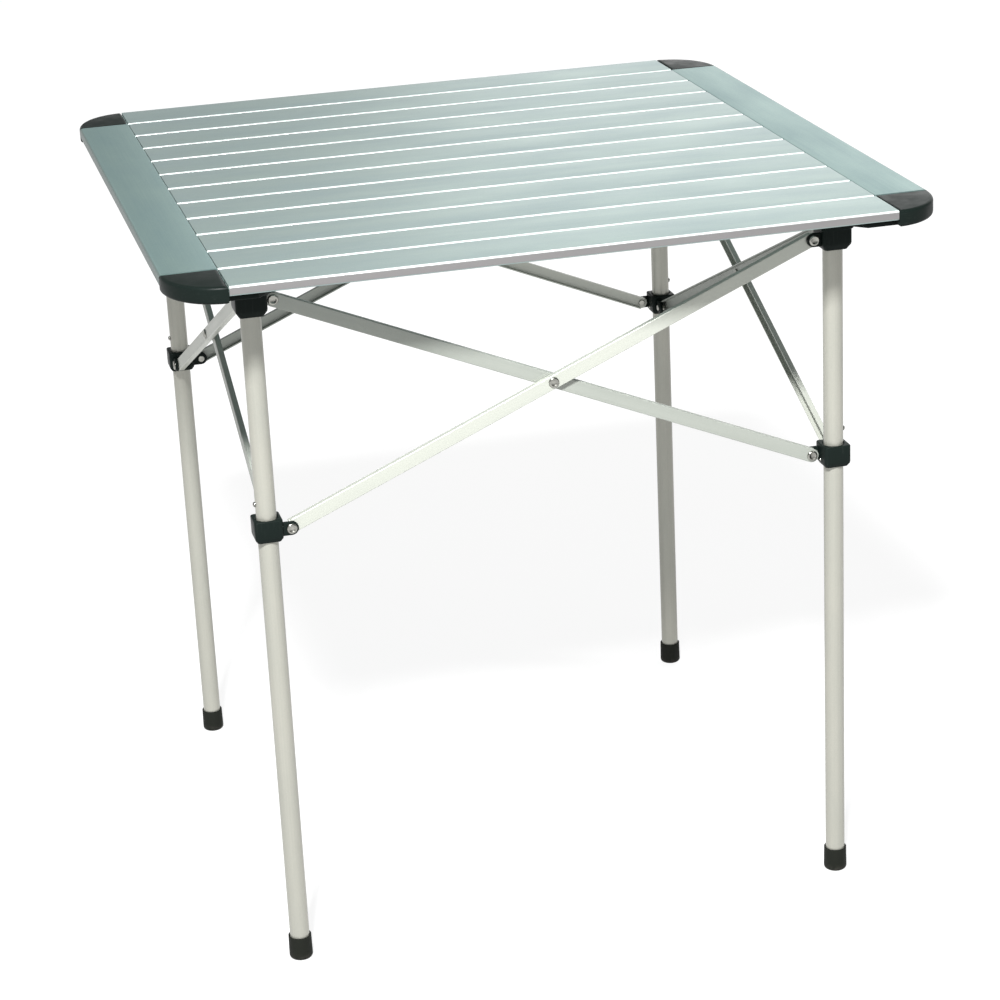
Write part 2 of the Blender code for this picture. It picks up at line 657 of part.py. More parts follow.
def add_scissors(rig):
    """The crossing bars of the four sides and their rivets."""
    outer_bar, inner_bar = bar_mesh(1), bar_mesh(-1)
    ear_face = EAR_NEAR + EAR_THICKNESS + TOUCH_GAP
    bar_face = BAR_PLAY + BAR_DEPTH + TOUCH_GAP
    outer_web_back = bar_face - 2 * TOUCH_GAP - BAR_SHEET
    inner_web_back = -BAR_PLAY - BAR_SHEET - TOUCH_GAP
    cross_rivet = rivet_mesh(bar_face, inner_web_back)
    outer_rivet = rivet_mesh(ear_face, outer_web_back)
    inner_rivet = rivet_mesh(TOUCH_GAP - BAR_PLAY, -ear_face)
    outer_joints = ("front_outer_bar_cross", "right_outer_bar_cross", "back_outer_bar_top", "left_outer_bar_top")
    inner_joints = ("frame_fold", "right_inner_bar_top", "back_inner_bar_cross", "left_inner_bar_cross")
    for side, name in enumerate(SIDES):
        angle = side * math.pi / 2
        middle = side_point(side, 0.0, CROSSING_Z)
        outer_turn, inner_turn = (0.0, -BAR_TILT, angle), (0.0, BAR_TILT, angle)
        rig.piece(f"{name}_outer_bar", outer_bar, "bar_aluminium", outer_joints[side], middle, outer_turn)
        rig.piece(f"{name}_inner_bar", inner_bar, "bar_aluminium", inner_joints[side], middle, inner_turn)
        rig.piece(
            f"{name}_cross_rivet", cross_rivet, "rivet_steel", outer_joints[side], middle, (0.0, 0.0, angle)
        )
        left_leg, right_leg = LEG_JOINTS[side], LEG_JOINTS[(side + 1) % len(LEGS)]
        left_top, right_top = side_point(side, -PIVOT_X, TOP_PIVOT_Z), side_point(side, PIVOT_X, TOP_PIVOT_Z)
        rig.piece(f"{name}_top_rivet_left", inner_rivet, "rivet_steel", left_leg, left_top, (0.0, 0.0, angle))
        rig.piece(f"{name}_top_rivet_right", outer_rivet, "rivet_steel", right_leg, right_top, (0.0, 0.0, angle))


def main():
    """Build the table."""
    clear_scene()
    rig = Rig(new_collection("folding_side_table"))
    add_joints(rig)
    add_table_top(rig)
    add_legs(rig)
    add_scissors(rig)


main()
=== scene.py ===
"""Finished looks of the folding side table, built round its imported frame.

Every length is in metres. The slats run along X, the end rails along Y, and the table stands on z = 0 with
its middle at the origin. Corners and sides are counted anticlockwise seen from above, from the front left
corner and the front side. Each piece carries a vector attribute called grain, its own coordinates with X
along the direction in which the metal was drawn, so that a finish follows the piece and not the room.
"""

import logging
import math
from dataclasses import dataclass
from enum import Enum
from typing import Any, Iterable, Optional, Sequence

import bmesh
import bpy
from mathutils import Euler, Matrix, Vector


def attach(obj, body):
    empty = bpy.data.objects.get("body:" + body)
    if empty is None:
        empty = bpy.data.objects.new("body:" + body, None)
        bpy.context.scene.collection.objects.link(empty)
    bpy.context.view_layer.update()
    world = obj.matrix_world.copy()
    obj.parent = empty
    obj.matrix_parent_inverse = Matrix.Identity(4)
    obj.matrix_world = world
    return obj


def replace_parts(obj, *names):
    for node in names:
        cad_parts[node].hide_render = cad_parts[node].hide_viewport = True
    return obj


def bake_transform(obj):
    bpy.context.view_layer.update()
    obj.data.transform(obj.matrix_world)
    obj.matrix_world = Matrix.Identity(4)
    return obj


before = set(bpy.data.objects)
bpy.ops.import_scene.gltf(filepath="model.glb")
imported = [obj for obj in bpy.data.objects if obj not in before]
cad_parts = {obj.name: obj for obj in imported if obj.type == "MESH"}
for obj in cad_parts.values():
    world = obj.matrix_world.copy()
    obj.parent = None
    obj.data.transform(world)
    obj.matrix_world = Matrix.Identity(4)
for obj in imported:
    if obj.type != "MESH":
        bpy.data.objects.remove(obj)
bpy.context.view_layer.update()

Pair = tuple[float, float]
Triple = tuple[float, float, float]
Spot = tuple[Vector, Vector]

MM = 0.001
AXIS_X: Triple = (1.0, 0.0, 0.0)
EVEN: Triple = (1.0, 1.0, 1.0)
UNIT: Pair = (0.0, 1.0)
NOISE_RANGE: Pair = (0.3, 0.7)  # where most of a noise lies
LOG = logging.getLogger("side_table")


class Quarter(Enum):
    """A place that stands a number of right angles round the table."""

    @property
    def label(self) -> str:
        """Name of the place as the frame's nodes and bodies use it."""
        return self.name.lower()

    @property
    def turn(self) -> Matrix:
        """Turn about Z that brings what stands at the first place here."""
        return Matrix.Rotation(self.value * math.pi / 2, 4, "Z")


class Corner(Quarter):
    """The table's four corners, each with the number of right angles from the front left one."""

    FRONT_LEFT = 0
    FRONT_RIGHT = 1
    BACK_RIGHT = 2
    BACK_LEFT = 3


class Side(Quarter):
    """The frame's four sides, each with the number of right angles from the front."""

    FRONT = 0
    RIGHT = 1
    BACK = 2
    LEFT = 3

    @property
    def left(self) -> Corner:
        """Corner at this side's left end, seen from outside."""
        return Corner(self.value)

    @property
    def right(self) -> Corner:
        """Corner at this side's right end, seen from outside."""
        return Corner((self.value + 1) % len(Corner))


class Layer(Enum):
    """Which of a side's two layers a bar or an ear lies in, with its sign along the outward direction."""

    OUTER = 1
    INNER = -1

    @property
    def label(self) -> str:
        """Name of the layer as the frame's nodes use it."""
        return self.name.lower()


class Slot(Enum):
    """Material slots of the record."""

    SLAT = "slat_aluminium"
    RAIL = "rail_aluminium"
    LEG = "leg_aluminium"
    BAR = "bar_aluminium"
    RIVET = "rivet_steel"
    PLASTIC = "black_plastic"
    FOOT = "foot_rubber"


# ---------------------------------------------------------------- node trees


class NodeMaker:
    """Adds nodes to one node tree."""

    def __init__(self, tree: bpy.types.NodeTree) -> None:
        """Keep the tree that the nodes go into.

        Args:
            tree: The tree.
        """
        self.tree = tree

    def feed(self, socket: bpy.types.NodeSocket, value: Any) -> None:
        """Link other sockets to a socket, or give it a value.

        Args:
            socket: The input socket.
            value: A value, a socket or a list of sockets.
        """
        for item in value if isinstance(value, list) else [value]:
            if isinstance(item, bpy.types.NodeSocket):
                self.tree.links.new(item, socket)
            else:
                socket.default_value = item

    def node(self, kind: str, inputs: Optional[dict[Any, Any]] = None, **settings: Any) -> bpy.types.Node:
        """Add a node.

        Args:
            kind: Type name of the node.
            inputs: What its inputs are fed, by name or number.
            **settings: Properties of the node.

        Returns:
            The new node.
        """
        node = self.tree.nodes.new(kind)
        for key, value in settings.items():
            setattr(node, key, value)
        for key, value in (inputs or {}).items():
            self.feed(node.inputs[key], value)
        return node

    def math(self, operation: str, first: Any, second: Any = 0.0) -> bpy.types.NodeSocket:
        """Result of a Math node on two numbers or sockets."""
        return self.node("ShaderNodeMath", {0: first, 1: second}, operation=operation).outputs[0]

    def plus(self, first: Any, second: Any) -> bpy.types.NodeSocket:
        """Sum of two numbers or sockets."""
        return self.math("ADD", first, second)

    def minus(self, first: Any, second: Any) -> bpy.types.NodeSocket:
        """Difference of two numbers or sockets."""
        return self.math("SUBTRACT", first, second)

    def times(self, first: Any, second: Any) -> bpy.types.NodeSocket:
        """Product of two numbers or sockets."""
        return self.math("MULTIPLY", first, second)


# ---------------------------------------------------------------- finishes


class ShaderMaker(NodeMaker):
    """Builds one Principled material from a few named steps."""

    def __init__(self, name: str) -> None:
        """Start an empty material.

        Args:
            name: Name of the material.
        """
        self.material = bpy.data.materials.new(name)
        self.material.use_nodes = True
        super().__init__(self.material.node_tree)
        self.shader = self.tree.nodes["Principled BSDF"]

    def grain(self, stretch: Triple = EVEN) -> bpy.types.NodeSocket:
        """Coordinates of the piece's own grain, multiplied along each axis.

        Args:
            stretch: Factors, in repeats per metre.

        Returns:
            The vector socket.
        """
        source = self.node("ShaderNodeAttribute", attribute_name="grain")
        inputs = {0: source.outputs["Vector"], 1: stretch}
        return self.node("ShaderNodeVectorMath", inputs, operation="MULTIPLY").outputs["Vector"]

    def noise(self, stretch: Triple, detail: float = 2.0) -> bpy.types.NodeSocket:
        """Noise on the grain coordinates.

        Args:
            stretch: Repeats per metre along each grain axis.
            detail: Octaves of the noise.

        Returns:
            The value socket, which varies round a half.
        """
        inputs = {"Vector": self.grain(stretch), "Scale": 1.0, "Detail": detail}
        return self.node("ShaderNodeTexNoise", inputs).outputs[0]

    def span(
        self, value: Any, source: Pair = UNIT, target: tuple[Any, Any] = UNIT, smooth: bool = False
    ) -> bpy.types.NodeSocket:
        """Map a value from one range to another.

        Args:
            value: Socket to map.
            source: Range of the value.
            target: Range of the result, as numbers or sockets.
            smooth: Whether the ends ease in and out.

        Returns:
            The mapped socket.
        """
        inputs = {
            "Value": value,
            "From Min": source[0],
            "From Max": source[1],
            "To Min": target[0],
            "To Max": target[1],
        }
        kind = "SMOOTHSTEP" if smooth else "LINEAR"
        return self.node("ShaderNodeMapRange", inputs, interpolation_type=kind).outputs[0]

    def uneven(self, noise: Any, middle: float, less: float, more: float) -> bpy.types.NodeSocket:
        """A value that wanders round its middle with a noise.

        Args:
            noise: Socket of the noise.
            middle: The middle value.
            less: How far it falls below.
            more: How far it rises above.

        Returns:
            The value socket.
        """
        return self.span(noise, NOISE_RANGE, (middle - less, middle + more))

    def mix(self, factor: Any, first: Any, second: Any) -> bpy.types.NodeSocket:
        """Mix two colours.

        Args:
            factor: Share of the second colour.
            first: Colour at factor 0.
            second: Colour at factor 1.

        Returns:
            The mixed colour.
        """
        inputs = {0: factor, 6: colour_of(first), 7: colour_of(second)}
        return self.node("ShaderNodeMix", inputs, data_type="RGBA").outputs[2]

    def bump(self, height: Any, distance: float, strength: float = 1.0) -> None:
        """Give the shader a bump.

        Args:
            height: Socket of the height, from 0 to 1.
            distance: Depth of the bump in metres.
            strength: Share of the bump that shows.
        """
        inputs = {"Height": height, "Distance": distance, "Strength": strength}
        self.feed(self.shader.inputs["Normal"], self.node("ShaderNodeBump", inputs).outputs["Normal"])

    def set(self, **values: Any) -> bpy.types.Material:
        """Feed the shader's inputs.

        Args:
            **values: What each input is fed, by its name with underscores for spaces.

        Returns:
            The material.
        """
        for key, value in values.items():
            self.feed(self.shader.inputs[key.replace("_", " ")], value)
        return self.material


def colour_of(value: Any) -> Any:
    """A colour triple as four numbers, or a socket as it is."""
    return (*value, 1.0) if isinstance(value, tuple) and len(value) == 3 else value


@dataclass(frozen=True)
class Finish:
    """A finish, whose colour wanders towards a shade."""

    name: str
    colour: Triple
    shade: Triple

    def material(self) -> bpy.types.Material:
        """Build the material, which each kind of finish does in its own way."""
        raise NotImplementedError


@dataclass(frozen=True)
class AnodisedAluminium(Finish):
    """Drawn and satin anodised aluminium, with streaks along the grain.

    A section with a half width has painted shade on its flanks, a darker colour on its side faces, and one
    with an arris radius has a painted highlight, a paler colour, on its round upper arrises as well.
    """

    metallic: float = 0.75
    roughness: float = 0.42
    half_width: float = 0.0
    half_thickness: float = 0.0
    arris_radius: float = 0.0
    # Painted shade on the flanks: its colour, how deep it reaches in from the side faces, and its metallic
    # share.
    flank_colour: Triple = (0.21, 0.205, 0.205)
    flank_depth: float = 0.3 * MM
    flank_metallic: float = 0.75
    # Painted highlight on the round upper arrises: its colour and its metallic share.
    arris_colour: Triple = (0.72, 0.76, 0.74)
    arris_metallic: float = 0.15
    streak_depth: float = 0.012 * MM
    streaks: Triple = (5.0, 900.0, 900.0)
    clouds: Triple = (9.0, 32.0, 32.0)
    speckles: Triple = (950.0, 950.0, 950.0)

    def material(self) -> bpy.types.Material:
        """Build the material.

        Returns:
            The material.
        """
        make = ShaderMaker(self.name)
        streak = make.noise(self.streaks, 3.0)
        cloud = make.noise(self.clouds, 3.0)
        speckle = make.noise(self.speckles, 1.0)
        drawn = make.plus(make.times(streak, 0.25), make.times(speckle, 0.25))
        blend = make.plus(make.times(cloud, 0.5), drawn)
        colour = make.mix(make.span(blend, (0.32, 0.68)), self.colour, self.shade)
        rough = make.uneven(blend, self.roughness, 0.04, 0.05)
        metallic: Any = self.metallic
        # Painted shade: the side faces of the section and a thin band next to them take a darker colour.
        if self.half_width:
            parts = make.node("ShaderNodeSeparateXYZ", {0: make.grain()})
            across = make.math("ABSOLUTE", parts.outputs["Y"])
            start = self.half_width - self.flank_depth
            flank_shade = make.span(across, (start, self.half_width - 0.3 * self.flank_depth))
            colour = make.mix(flank_shade, colour, self.flank_colour)
            metallic = make.span(flank_shade, target=(metallic, self.flank_metallic))
        # Painted highlight: the round upper arrises take a paler, less metallic colour, broken up by the
        # streaks.
        if self.arris_radius:
            worn = self.worn(make, make.plus(across, parts.outputs["Z"]), streak)
            colour = make.mix(worn, colour, self.arris_colour)
            metallic = make.span(worn, target=(metallic, self.arris_metallic))
        make.bump(make.plus(make.times(streak, 0.7), speckle), self.streak_depth, 0.6)
        return make.set(Base_Color=colour, Roughness=rough, Metallic=metallic)

    def worn(
        self, make: ShaderMaker, reach: bpy.types.NodeSocket, streak: bpy.types.NodeSocket
    ) -> bpy.types.NodeSocket:
        """Share of painted highlight, from 0 on the flats to 1 on the round upper arrises of a flat section.

        Args:
            make: Maker of this material.
            reach: Sum of the distances across and through the section, greatest on the arrises.
            streak: Streak pattern that breaks the painted highlight up.

        Returns:
            The share.
        """
        start = self.half_width + self.half_thickness - self.arris_radius
        edge = make.span(reach, (start, start + 0.6 * self.arris_radius), smooth=True)
        return make.times(edge, make.span(streak, (0.2, 0.6), (0.7, 1.0)))


@dataclass(frozen=True)
class MouldedPlastic(Finish):
    """Injection moulded black plastic with a fine spark-eroded texture and faint scuffs in its shade."""

    roughness: float = 0.38
    texture_depth: float = 0.02 * MM
    specular: float = 0.05
    grit: Triple = (2600.0, 2600.0, 2600.0)
    clouds: Triple = (60.0, 60.0, 60.0)
    scratches: Triple = (60.0, 800.0, 800.0)

    def material(self) -> bpy.types.Material:
        """Build the material.

        Returns:
            The material.
        """
        make = ShaderMaker(self.name)
        texture = make.noise(self.grit, 1.0)
        cloud = make.noise(self.clouds, 3.0)
        scratch = make.noise(self.scratches, 2.0)
        scuffed = make.times(make.span(scratch, (0.60, 0.72)), cloud)
        colour = make.mix(make.times(scuffed, 0.5), self.colour, self.shade)
        rough = make.uneven(cloud, self.roughness, 0.06, 0.08)
        make.bump(texture, self.texture_depth, 0.5)
        return make.set(Base_Color=colour, Roughness=rough, Specular_IOR_Level=self.specular)


@dataclass(frozen=True)
class FootRubber(Finish):
    """Matt black rubber, with dust in its shade towards the ground that it stands on."""

    roughness: float = 0.6
    specular: float = 0.1
    dust_height: float = 9.0 * MM
    texture_depth: float = 0.03 * MM
    grit: Triple = (2000.0, 2000.0, 2000.0)
    clouds: Triple = (240.0, 240.0, 240.0)

    def material(self) -> bpy.types.Material:
        """Build the material.

        Returns:
            The material.
        """
        make = ShaderMaker(self.name)
        texture = make.noise(self.grit, 2.0)
        cloud = make.noise(self.clouds, 4.0)
        height = make.node("ShaderNodeSeparateXYZ", {0: make.grain()}).outputs["X"]
        low = make.span(height, (0.0, self.dust_height), (0.5, 0.0), smooth=True)
        dusty = make.times(low, make.span(cloud, (0.4, 0.65)))
        colour = make.mix(dusty, self.colour, self.shade)
        rough = make.uneven(cloud, self.roughness, 0.08, 0.1)
        make.bump(texture, self.texture_depth, 0.6)
        return make.set(Base_Color=colour, Roughness=rough, Specular_IOR_Level=self.specular)


@dataclass(frozen=True)
class PlatedSteel(Finish):
    """Bright plated rivet steel with fine tool marks."""

    roughness: float = 0.22
    mark_depth: float = 0.02 * MM
    tool_marks: Triple = (900.0, 900.0, 900.0)
    clouds: Triple = (200.0, 200.0, 200.0)

    def material(self) -> bpy.types.Material:
        """Build the material.

        Returns:
            The material.
        """
        make = ShaderMaker(self.name)
        marks = make.noise(self.tool_marks, 3.0)
        cloud = make.noise(self.clouds, 2.0)
        colour = make.mix(make.span(cloud, (0.35, 0.65)), self.colour, self.shade)
        rough = make.uneven(marks, self.roughness, 0.06, 0.1)
        make.bump(marks, self.mark_depth, 0.5)
        return make.set(Base_Color=colour, Roughness=rough, Metallic=1.0)


@dataclass(frozen=True)
class ElasticCord(Finish):
    """Pale elastic cord with a braided sleeve, its braid's grooves darker than its ridges: painted shade."""

    braid_pitch: float = 0.9 * MM
    braid_depth: float = 0.12 * MM

    def material(self) -> bpy.types.Material:
        """Build the material.

        Returns:
            The material.
        """
        make = ShaderMaker(self.name)
        turns = 1.0 / self.braid_pitch
        inputs = {"Vector": make.grain((turns, turns, turns)), "Scale": 0.5, "Distortion": 0.6}
        braid = make.node("ShaderNodeTexWave", inputs, bands_direction="DIAGONAL").outputs[1]
        # Painted shade: the braid's grooves, where the bump is low, take the darker colour.
        colour = make.mix(braid, self.shade, self.colour)
        make.bump(braid, self.braid_depth, 0.8)
        rough = make.span(braid, target=(0.85, 0.7))
        return make.set(Base_Color=colour, Roughness=rough)


@dataclass(frozen=True)
class PaleFloor(Finish):
    """Seamless studio floor with a barely visible cloud, mostly pale by its own glow."""

    glow: float = 5.4
    roughness: float = 0.9
    cloud_scale: float = 3.0

    def material(self) -> bpy.types.Material:
        """Build the material.

        Returns:
            The material.
        """
        make = ShaderMaker(self.name)
        place = make.node("ShaderNodeTexCoord").outputs["Object"]
        inputs = {"Vector": place, "Scale": self.cloud_scale, "Detail": 5.0}
        cloud = make.node("ShaderNodeTexNoise", inputs).outputs[0]
        colour = make.mix(cloud, self.colour, self.shade)
        glow = {"Emission_Color": colour, "Emission_Strength": self.glow}
        return make.set(Base_Color=colour, Roughness=self.roughness, **glow)


# The slats carry painted shade on their side faces and a painted highlight on their round upper arrises.
SLAT_FINISH = AnodisedAluminium(
    "satin_slat",
    (0.300, 0.378, 0.352),
    (0.248, 0.318, 0.322),
    half_width=29.08 * MM,
    half_thickness=4.5 * MM,
    arris_radius=2.1 * MM,
)
# Painted shade: the rails take a darker copy of the slats' aluminium, and their outer faces and rounded outer
# corners a near-black painted shade.
RAIL_FINISH_WITH_PAINTED_SHADE = AnodisedAluminium(
    "satin_rail",
    (0.208, 0.305, 0.285),
    (0.162, 0.248, 0.248),
    half_width=0.350,
    flank_colour=(0.06, 0.085, 0.08),
    flank_depth=3.2 * MM,
    flank_metallic=0.1,
)
LEG_FINISH = AnodisedAluminium(
    "satin_leg", (0.31, 0.305, 0.268), (0.262, 0.265, 0.235), metallic=0.45, roughness=0.34
)
# The two bar layers are lit and shaded copies of one aluminium: the inner layer's darker colour is painted
# shade.
BAR_FINISHES_WITH_PAINTED_SHADE = {
    Layer.OUTER: AnodisedAluminium(
        "satin_outer_bar", (0.37, 0.38, 0.34), (0.335, 0.35, 0.315), metallic=0.3, roughness=0.38
    ),
    Layer.INNER: AnodisedAluminium(
        "satin_inner_bar", (0.25, 0.265, 0.24), (0.22, 0.235, 0.212), metallic=0.25, roughness=0.42
    ),
}
PLASTIC_FINISH = MouldedPlastic("moulded_plastic", (0.005, 0.008, 0.007), (0.02, 0.024, 0.022))
FOOT_FINISH = FootRubber("foot_rubber_matt", (0.007, 0.008, 0.006), (0.04, 0.038, 0.032))
RIVET_FINISH = PlatedSteel("plated_rivet", (0.34, 0.34, 0.31), (0.24, 0.24, 0.22))
CORD_FINISH = ElasticCord("elastic_cord", (0.82, 0.84, 0.82), (0.62, 0.64, 0.62))
FLOOR_FINISH = PaleFloor("pale_floor", (0.16, 0.16, 0.16), (0.158, 0.158, 0.158))


# ---------------------------------------------------------------- mesh work


def placed(
    local_x: Sequence[float], local_y: Sequence[float], origin: Sequence[float] = (0.0, 0.0, 0.0)
) -> Matrix:
    """Matrix that puts the local X and Y axes along two directions, with Z square to both.

    Args:
        local_x: Direction of the local X axis.
        local_y: Direction of the local Y axis.
        origin: Place of the local origin.

    Returns:
        The placing matrix.
    """
    axis_x, axis_y = Vector(local_x), Vector(local_y)
    turn = Matrix((axis_x, axis_y, axis_x.cross(axis_y))).transposed().to_4x4()
    return Matrix.Translation(origin) @ turn


def arc(centre: Pair, radius: float, start: float, end: float, steps: int) -> list[Pair]:
    """Points on an arc.

    Args:
        centre: Middle of the arc.
        radius: Its radius.
        start: First angle.
        end: Last angle.
        steps: Number of chords.

    Returns:
        The points, both ends included.
    """
    turn = (end - start) / steps
    return [
        (centre[0] + radius * math.cos(start + turn * i), centre[1] + radius * math.sin(start + turn * i))
        for i in range(steps + 1)
    ]


def circle(centre: Pair, radius: float, steps: int = 24) -> list[Pair]:
    """Points round a full circle, without repeating the first."""
    return arc(centre, radius, 0.0, math.tau, steps)[:-1]


def rounded_box(width: float, height: float, radius: float, steps: int = 5) -> list[Pair]:
    """Outline of a rectangle with round corners, centred on the origin.

    Args:
        width: Size along X.
        height: Size along Y.
        radius: Radius of the corners.
        steps: Chords to a corner.

    Returns:
        The outline, anticlockwise.
    """
    points: list[Pair] = []
    for quarter, (side_x, side_y) in enumerate(((1, 1), (-1, 1), (-1, -1), (1, -1))):
        centre = (side_x * (width / 2 - radius), side_y * (height / 2 - radius))
        start = quarter * math.pi / 2
        points += arc(centre, radius, start, start + math.pi / 2, steps)
    return points


def helper(name: str, data: bpy.types.ID) -> bpy.types.Object:
    """Link a new object to the scene.

    Args:
        name: Name of the object.
        data: Its mesh, curve, camera or light.

    Returns:
        The object.
    """
    obj = bpy.data.objects.new(name, data)
    bpy.context.scene.collection.objects.link(obj)
    return obj


def plain_mesh(obj: bpy.types.Object, weld: float = 1e-6) -> bpy.types.Mesh:
    """Turn a helper into a welded mesh with its place applied, and remove the helper.

    Args:
        obj: The helper, with its modifiers.
        weld: Distance under which points are merged.

    Returns:
        The mesh.
    """
    bpy.context.view_layer.update()
    graph = bpy.context.evaluated_depsgraph_get()
    mesh = bpy.data.meshes.new_from_object(obj.evaluated_get(graph), depsgraph=graph)
    mesh.transform(obj.matrix_world)
    bpy.data.objects.remove(obj, do_unlink=True)
    work = bmesh.new()
    work.from_mesh(mesh)
    bmesh.ops.remove_doubles(work, verts=work.verts, dist=weld)
    work.to_mesh(mesh)
    work.free()
    return mesh


def mesh_of(points: Iterable[Sequence[float]], faces: Iterable[Sequence[int]]) -> bpy.types.Mesh:
    """Mesh from points and faces, with its faces turned outwards.

    Args:
        points: Places of the vertices.
        faces: Vertex numbers of each face.

    Returns:
        The mesh.
    """
    mesh = bpy.data.meshes.new("shape")
    mesh.from_pydata([tuple(point) for point in points], [], [tuple(face) for face in faces])
    work = bmesh.new()
    work.from_mesh(mesh)
    bmesh.ops.recalc_face_normals(work, faces=work.faces)
    work.to_mesh(mesh)
    work.free()
    return mesh


def prism(
    outlines: Sequence[Sequence[Pair]], thickness: float, place: Matrix, edge: float = 0.0, rounds: int = 2
) -> bpy.types.Mesh:
    """Flat shape with the given outlines, the first its rim and the others its holes, given a thickness.

    Args:
        outlines: Rim and holes on the local XY plane.
        thickness: Size along the local Z axis, centred on the plane.
        place: Matrix of the local axes.
        edge: Radius that rounds the rims.
        rounds: Extra chords in that rounding.

    Returns:
        The closed mesh.
    """
    curve = bpy.data.curves.new("outline", "CURVE")
    curve.dimensions = "2D"
    curve.fill_mode = "BOTH"
    curve.extrude = thickness / 2 - edge
    curve.bevel_depth = edge
    curve.bevel_resolution = rounds
    curve.offset = -edge
    for points in outlines:
        spline = curve.splines.new("POLY")
        spline.points.add(len(points) - 1)
        for point, (x, y) in zip(spline.points, points):
            point.co = (x, y, 0.0, 1.0)
        spline.use_cyclic_u = True
    shape = helper("prism", curve)
    shape.matrix_world = place
    mesh = plain_mesh(shape)
    bpy.data.curves.remove(curve)
    return mesh


def lathe(profile: Sequence[Pair], steps: int, ring: bool = False) -> bpy.types.Mesh:
    """Turned shape about Z.

    Args:
        profile: Points of (radius, z); it starts and ends on the axis unless it is a ring.
        steps: Number of sides.
        ring: Whether the profile is a closed loop off the axis.

    Returns:
        The closed mesh.
    """
    points: list[Triple] = []
    rows: list[list[int]] = []
    for radius, z in profile:
        count = steps if radius > 1e-9 else 1
        rows.append([len(points) + i for i in range(count)] * (1 if count > 1 else steps))
        points += [
            (radius * math.cos(math.tau * i / steps), radius * math.sin(math.tau * i / steps), z)
            for i in range(count)
        ]
    faces = []
    pairs = list(zip(rows, rows[1:])) + ([(rows[-1], rows[0])] if ring else [])
    for upper, lower in pairs:
        for i in range(steps):
            j = (i + 1) % steps
            face = dict.fromkeys((upper[i], upper[j], lower[j], lower[i]))
            if len(face) > 2:
                faces.append(tuple(face))
    return mesh_of(points, faces)


def loft(rings: Sequence[Sequence[Triple]]) -> bpy.types.Mesh:
    """Closed skin over rings of equally many points, with flat ends.

    Args:
        rings: The rings, in order.

    Returns:
        The closed mesh.
    """
    count = len(rings[0])
    points = [point for ring in rings for point in ring]
    faces: list[Sequence[int]] = [list(range(count)), list(range(len(points) - count, len(points)))]
    for row in range(len(rings) - 1):
        base = row * count
        for i in range(count):
            j = (i + 1) % count
            faces.append((base + i, base + j, base + count + j, base + count + i))
    return mesh_of(points, faces)


def rod(radius: float, length: float, place: Matrix, steps: int = 24) -> bpy.types.Mesh:
    """Cylinder along the local Z axis, centred on the place.

    Args:
        radius: Its radius.
        length: Its length.
        place: Matrix of the local axes.
        steps: Number of sides.

    Returns:
        The mesh.
    """
    work = bmesh.new()
    bmesh.ops.create_cone(
        work, cap_ends=True, segments=steps, radius1=radius, radius2=radius, depth=length, matrix=place
    )
    mesh = bpy.data.meshes.new("rod")
    work.to_mesh(mesh)
    work.free()
    return mesh


def combined(
    base: bpy.types.Mesh, joined: Sequence[bpy.types.Mesh] = (), cut: Sequence[bpy.types.Mesh] = ()
) -> bpy.types.Mesh:
    """Join meshes to a base mesh and cut others from it.

    Args:
        base: The mesh to start from.
        joined: Meshes to add.
        cut: Meshes to take away.

    Returns:
        The closed result.
    """
    shape = helper("base", base)
    tools = []
    for mesh, operation in [(mesh, "UNION") for mesh in joined] + [(mesh, "DIFFERENCE") for mesh in cut]:
        tool = helper("tool", mesh)
        tool.hide_render = True
        boolean = shape.modifiers.new(operation.title(), "BOOLEAN")
        boolean.operation = operation
        boolean.solver = "EXACT"
        boolean.object = tool
        tools.append(tool)
    mesh = plain_mesh(shape)
    for tool in tools:
        bpy.data.objects.remove(tool, do_unlink=True)
    return mesh


def moved(mesh: bpy.types.Mesh, place: Matrix) -> bpy.types.Mesh:
    """Copy of a mesh, moved; a mirrored copy keeps its faces outwards.

    Args:
        mesh: The mesh to copy.
        place: Where it goes.

    Returns:
        The copy.
    """
    copy = mesh.copy()
    copy.transform(place)
    if place.determinant() < 0:
        copy.flip_normals()
    return copy


def lay_grain(mesh: bpy.types.Mesh, along: str = "XYZ", shift: float = 0.0) -> bpy.types.Mesh:
    """Write the piece's own coordinates into its grain attribute.

    Args:
        mesh: The mesh, still in its own place.
        along: Its axes in the order along, across and through the grain.
        shift: Shift along the grain, so that no two pieces are alike.

    Returns:
        The same mesh.
    """
    order = ["XYZ".index(letter) for letter in along]
    values: list[float] = []
    for vertex in mesh.vertices:
        values += [vertex.co[order[0]] + shift, vertex.co[order[1]], vertex.co[order[2]]]
    attribute = mesh.attributes.new("grain", "FLOAT_VECTOR", "POINT")
    attribute.data.foreach_set("vector", values)
    return mesh


def laid(mesh: bpy.types.Mesh, place: Matrix, along: str = "XYZ", shift: float = 0.0) -> bpy.types.Mesh:
    """Copy of a mesh that takes its grain from its own axes and is then moved to its place.

    Args:
        mesh: The mesh to copy.
        place: Where it goes.
        along: Its axes in the order along, across and through the grain.
        shift: Shift along the grain, so that no two pieces are alike.

    Returns:
        The copy.
    """
    return moved(lay_grain(mesh.copy(), along, shift), place)


# ---------------------------------------------------------------- geometry nodes


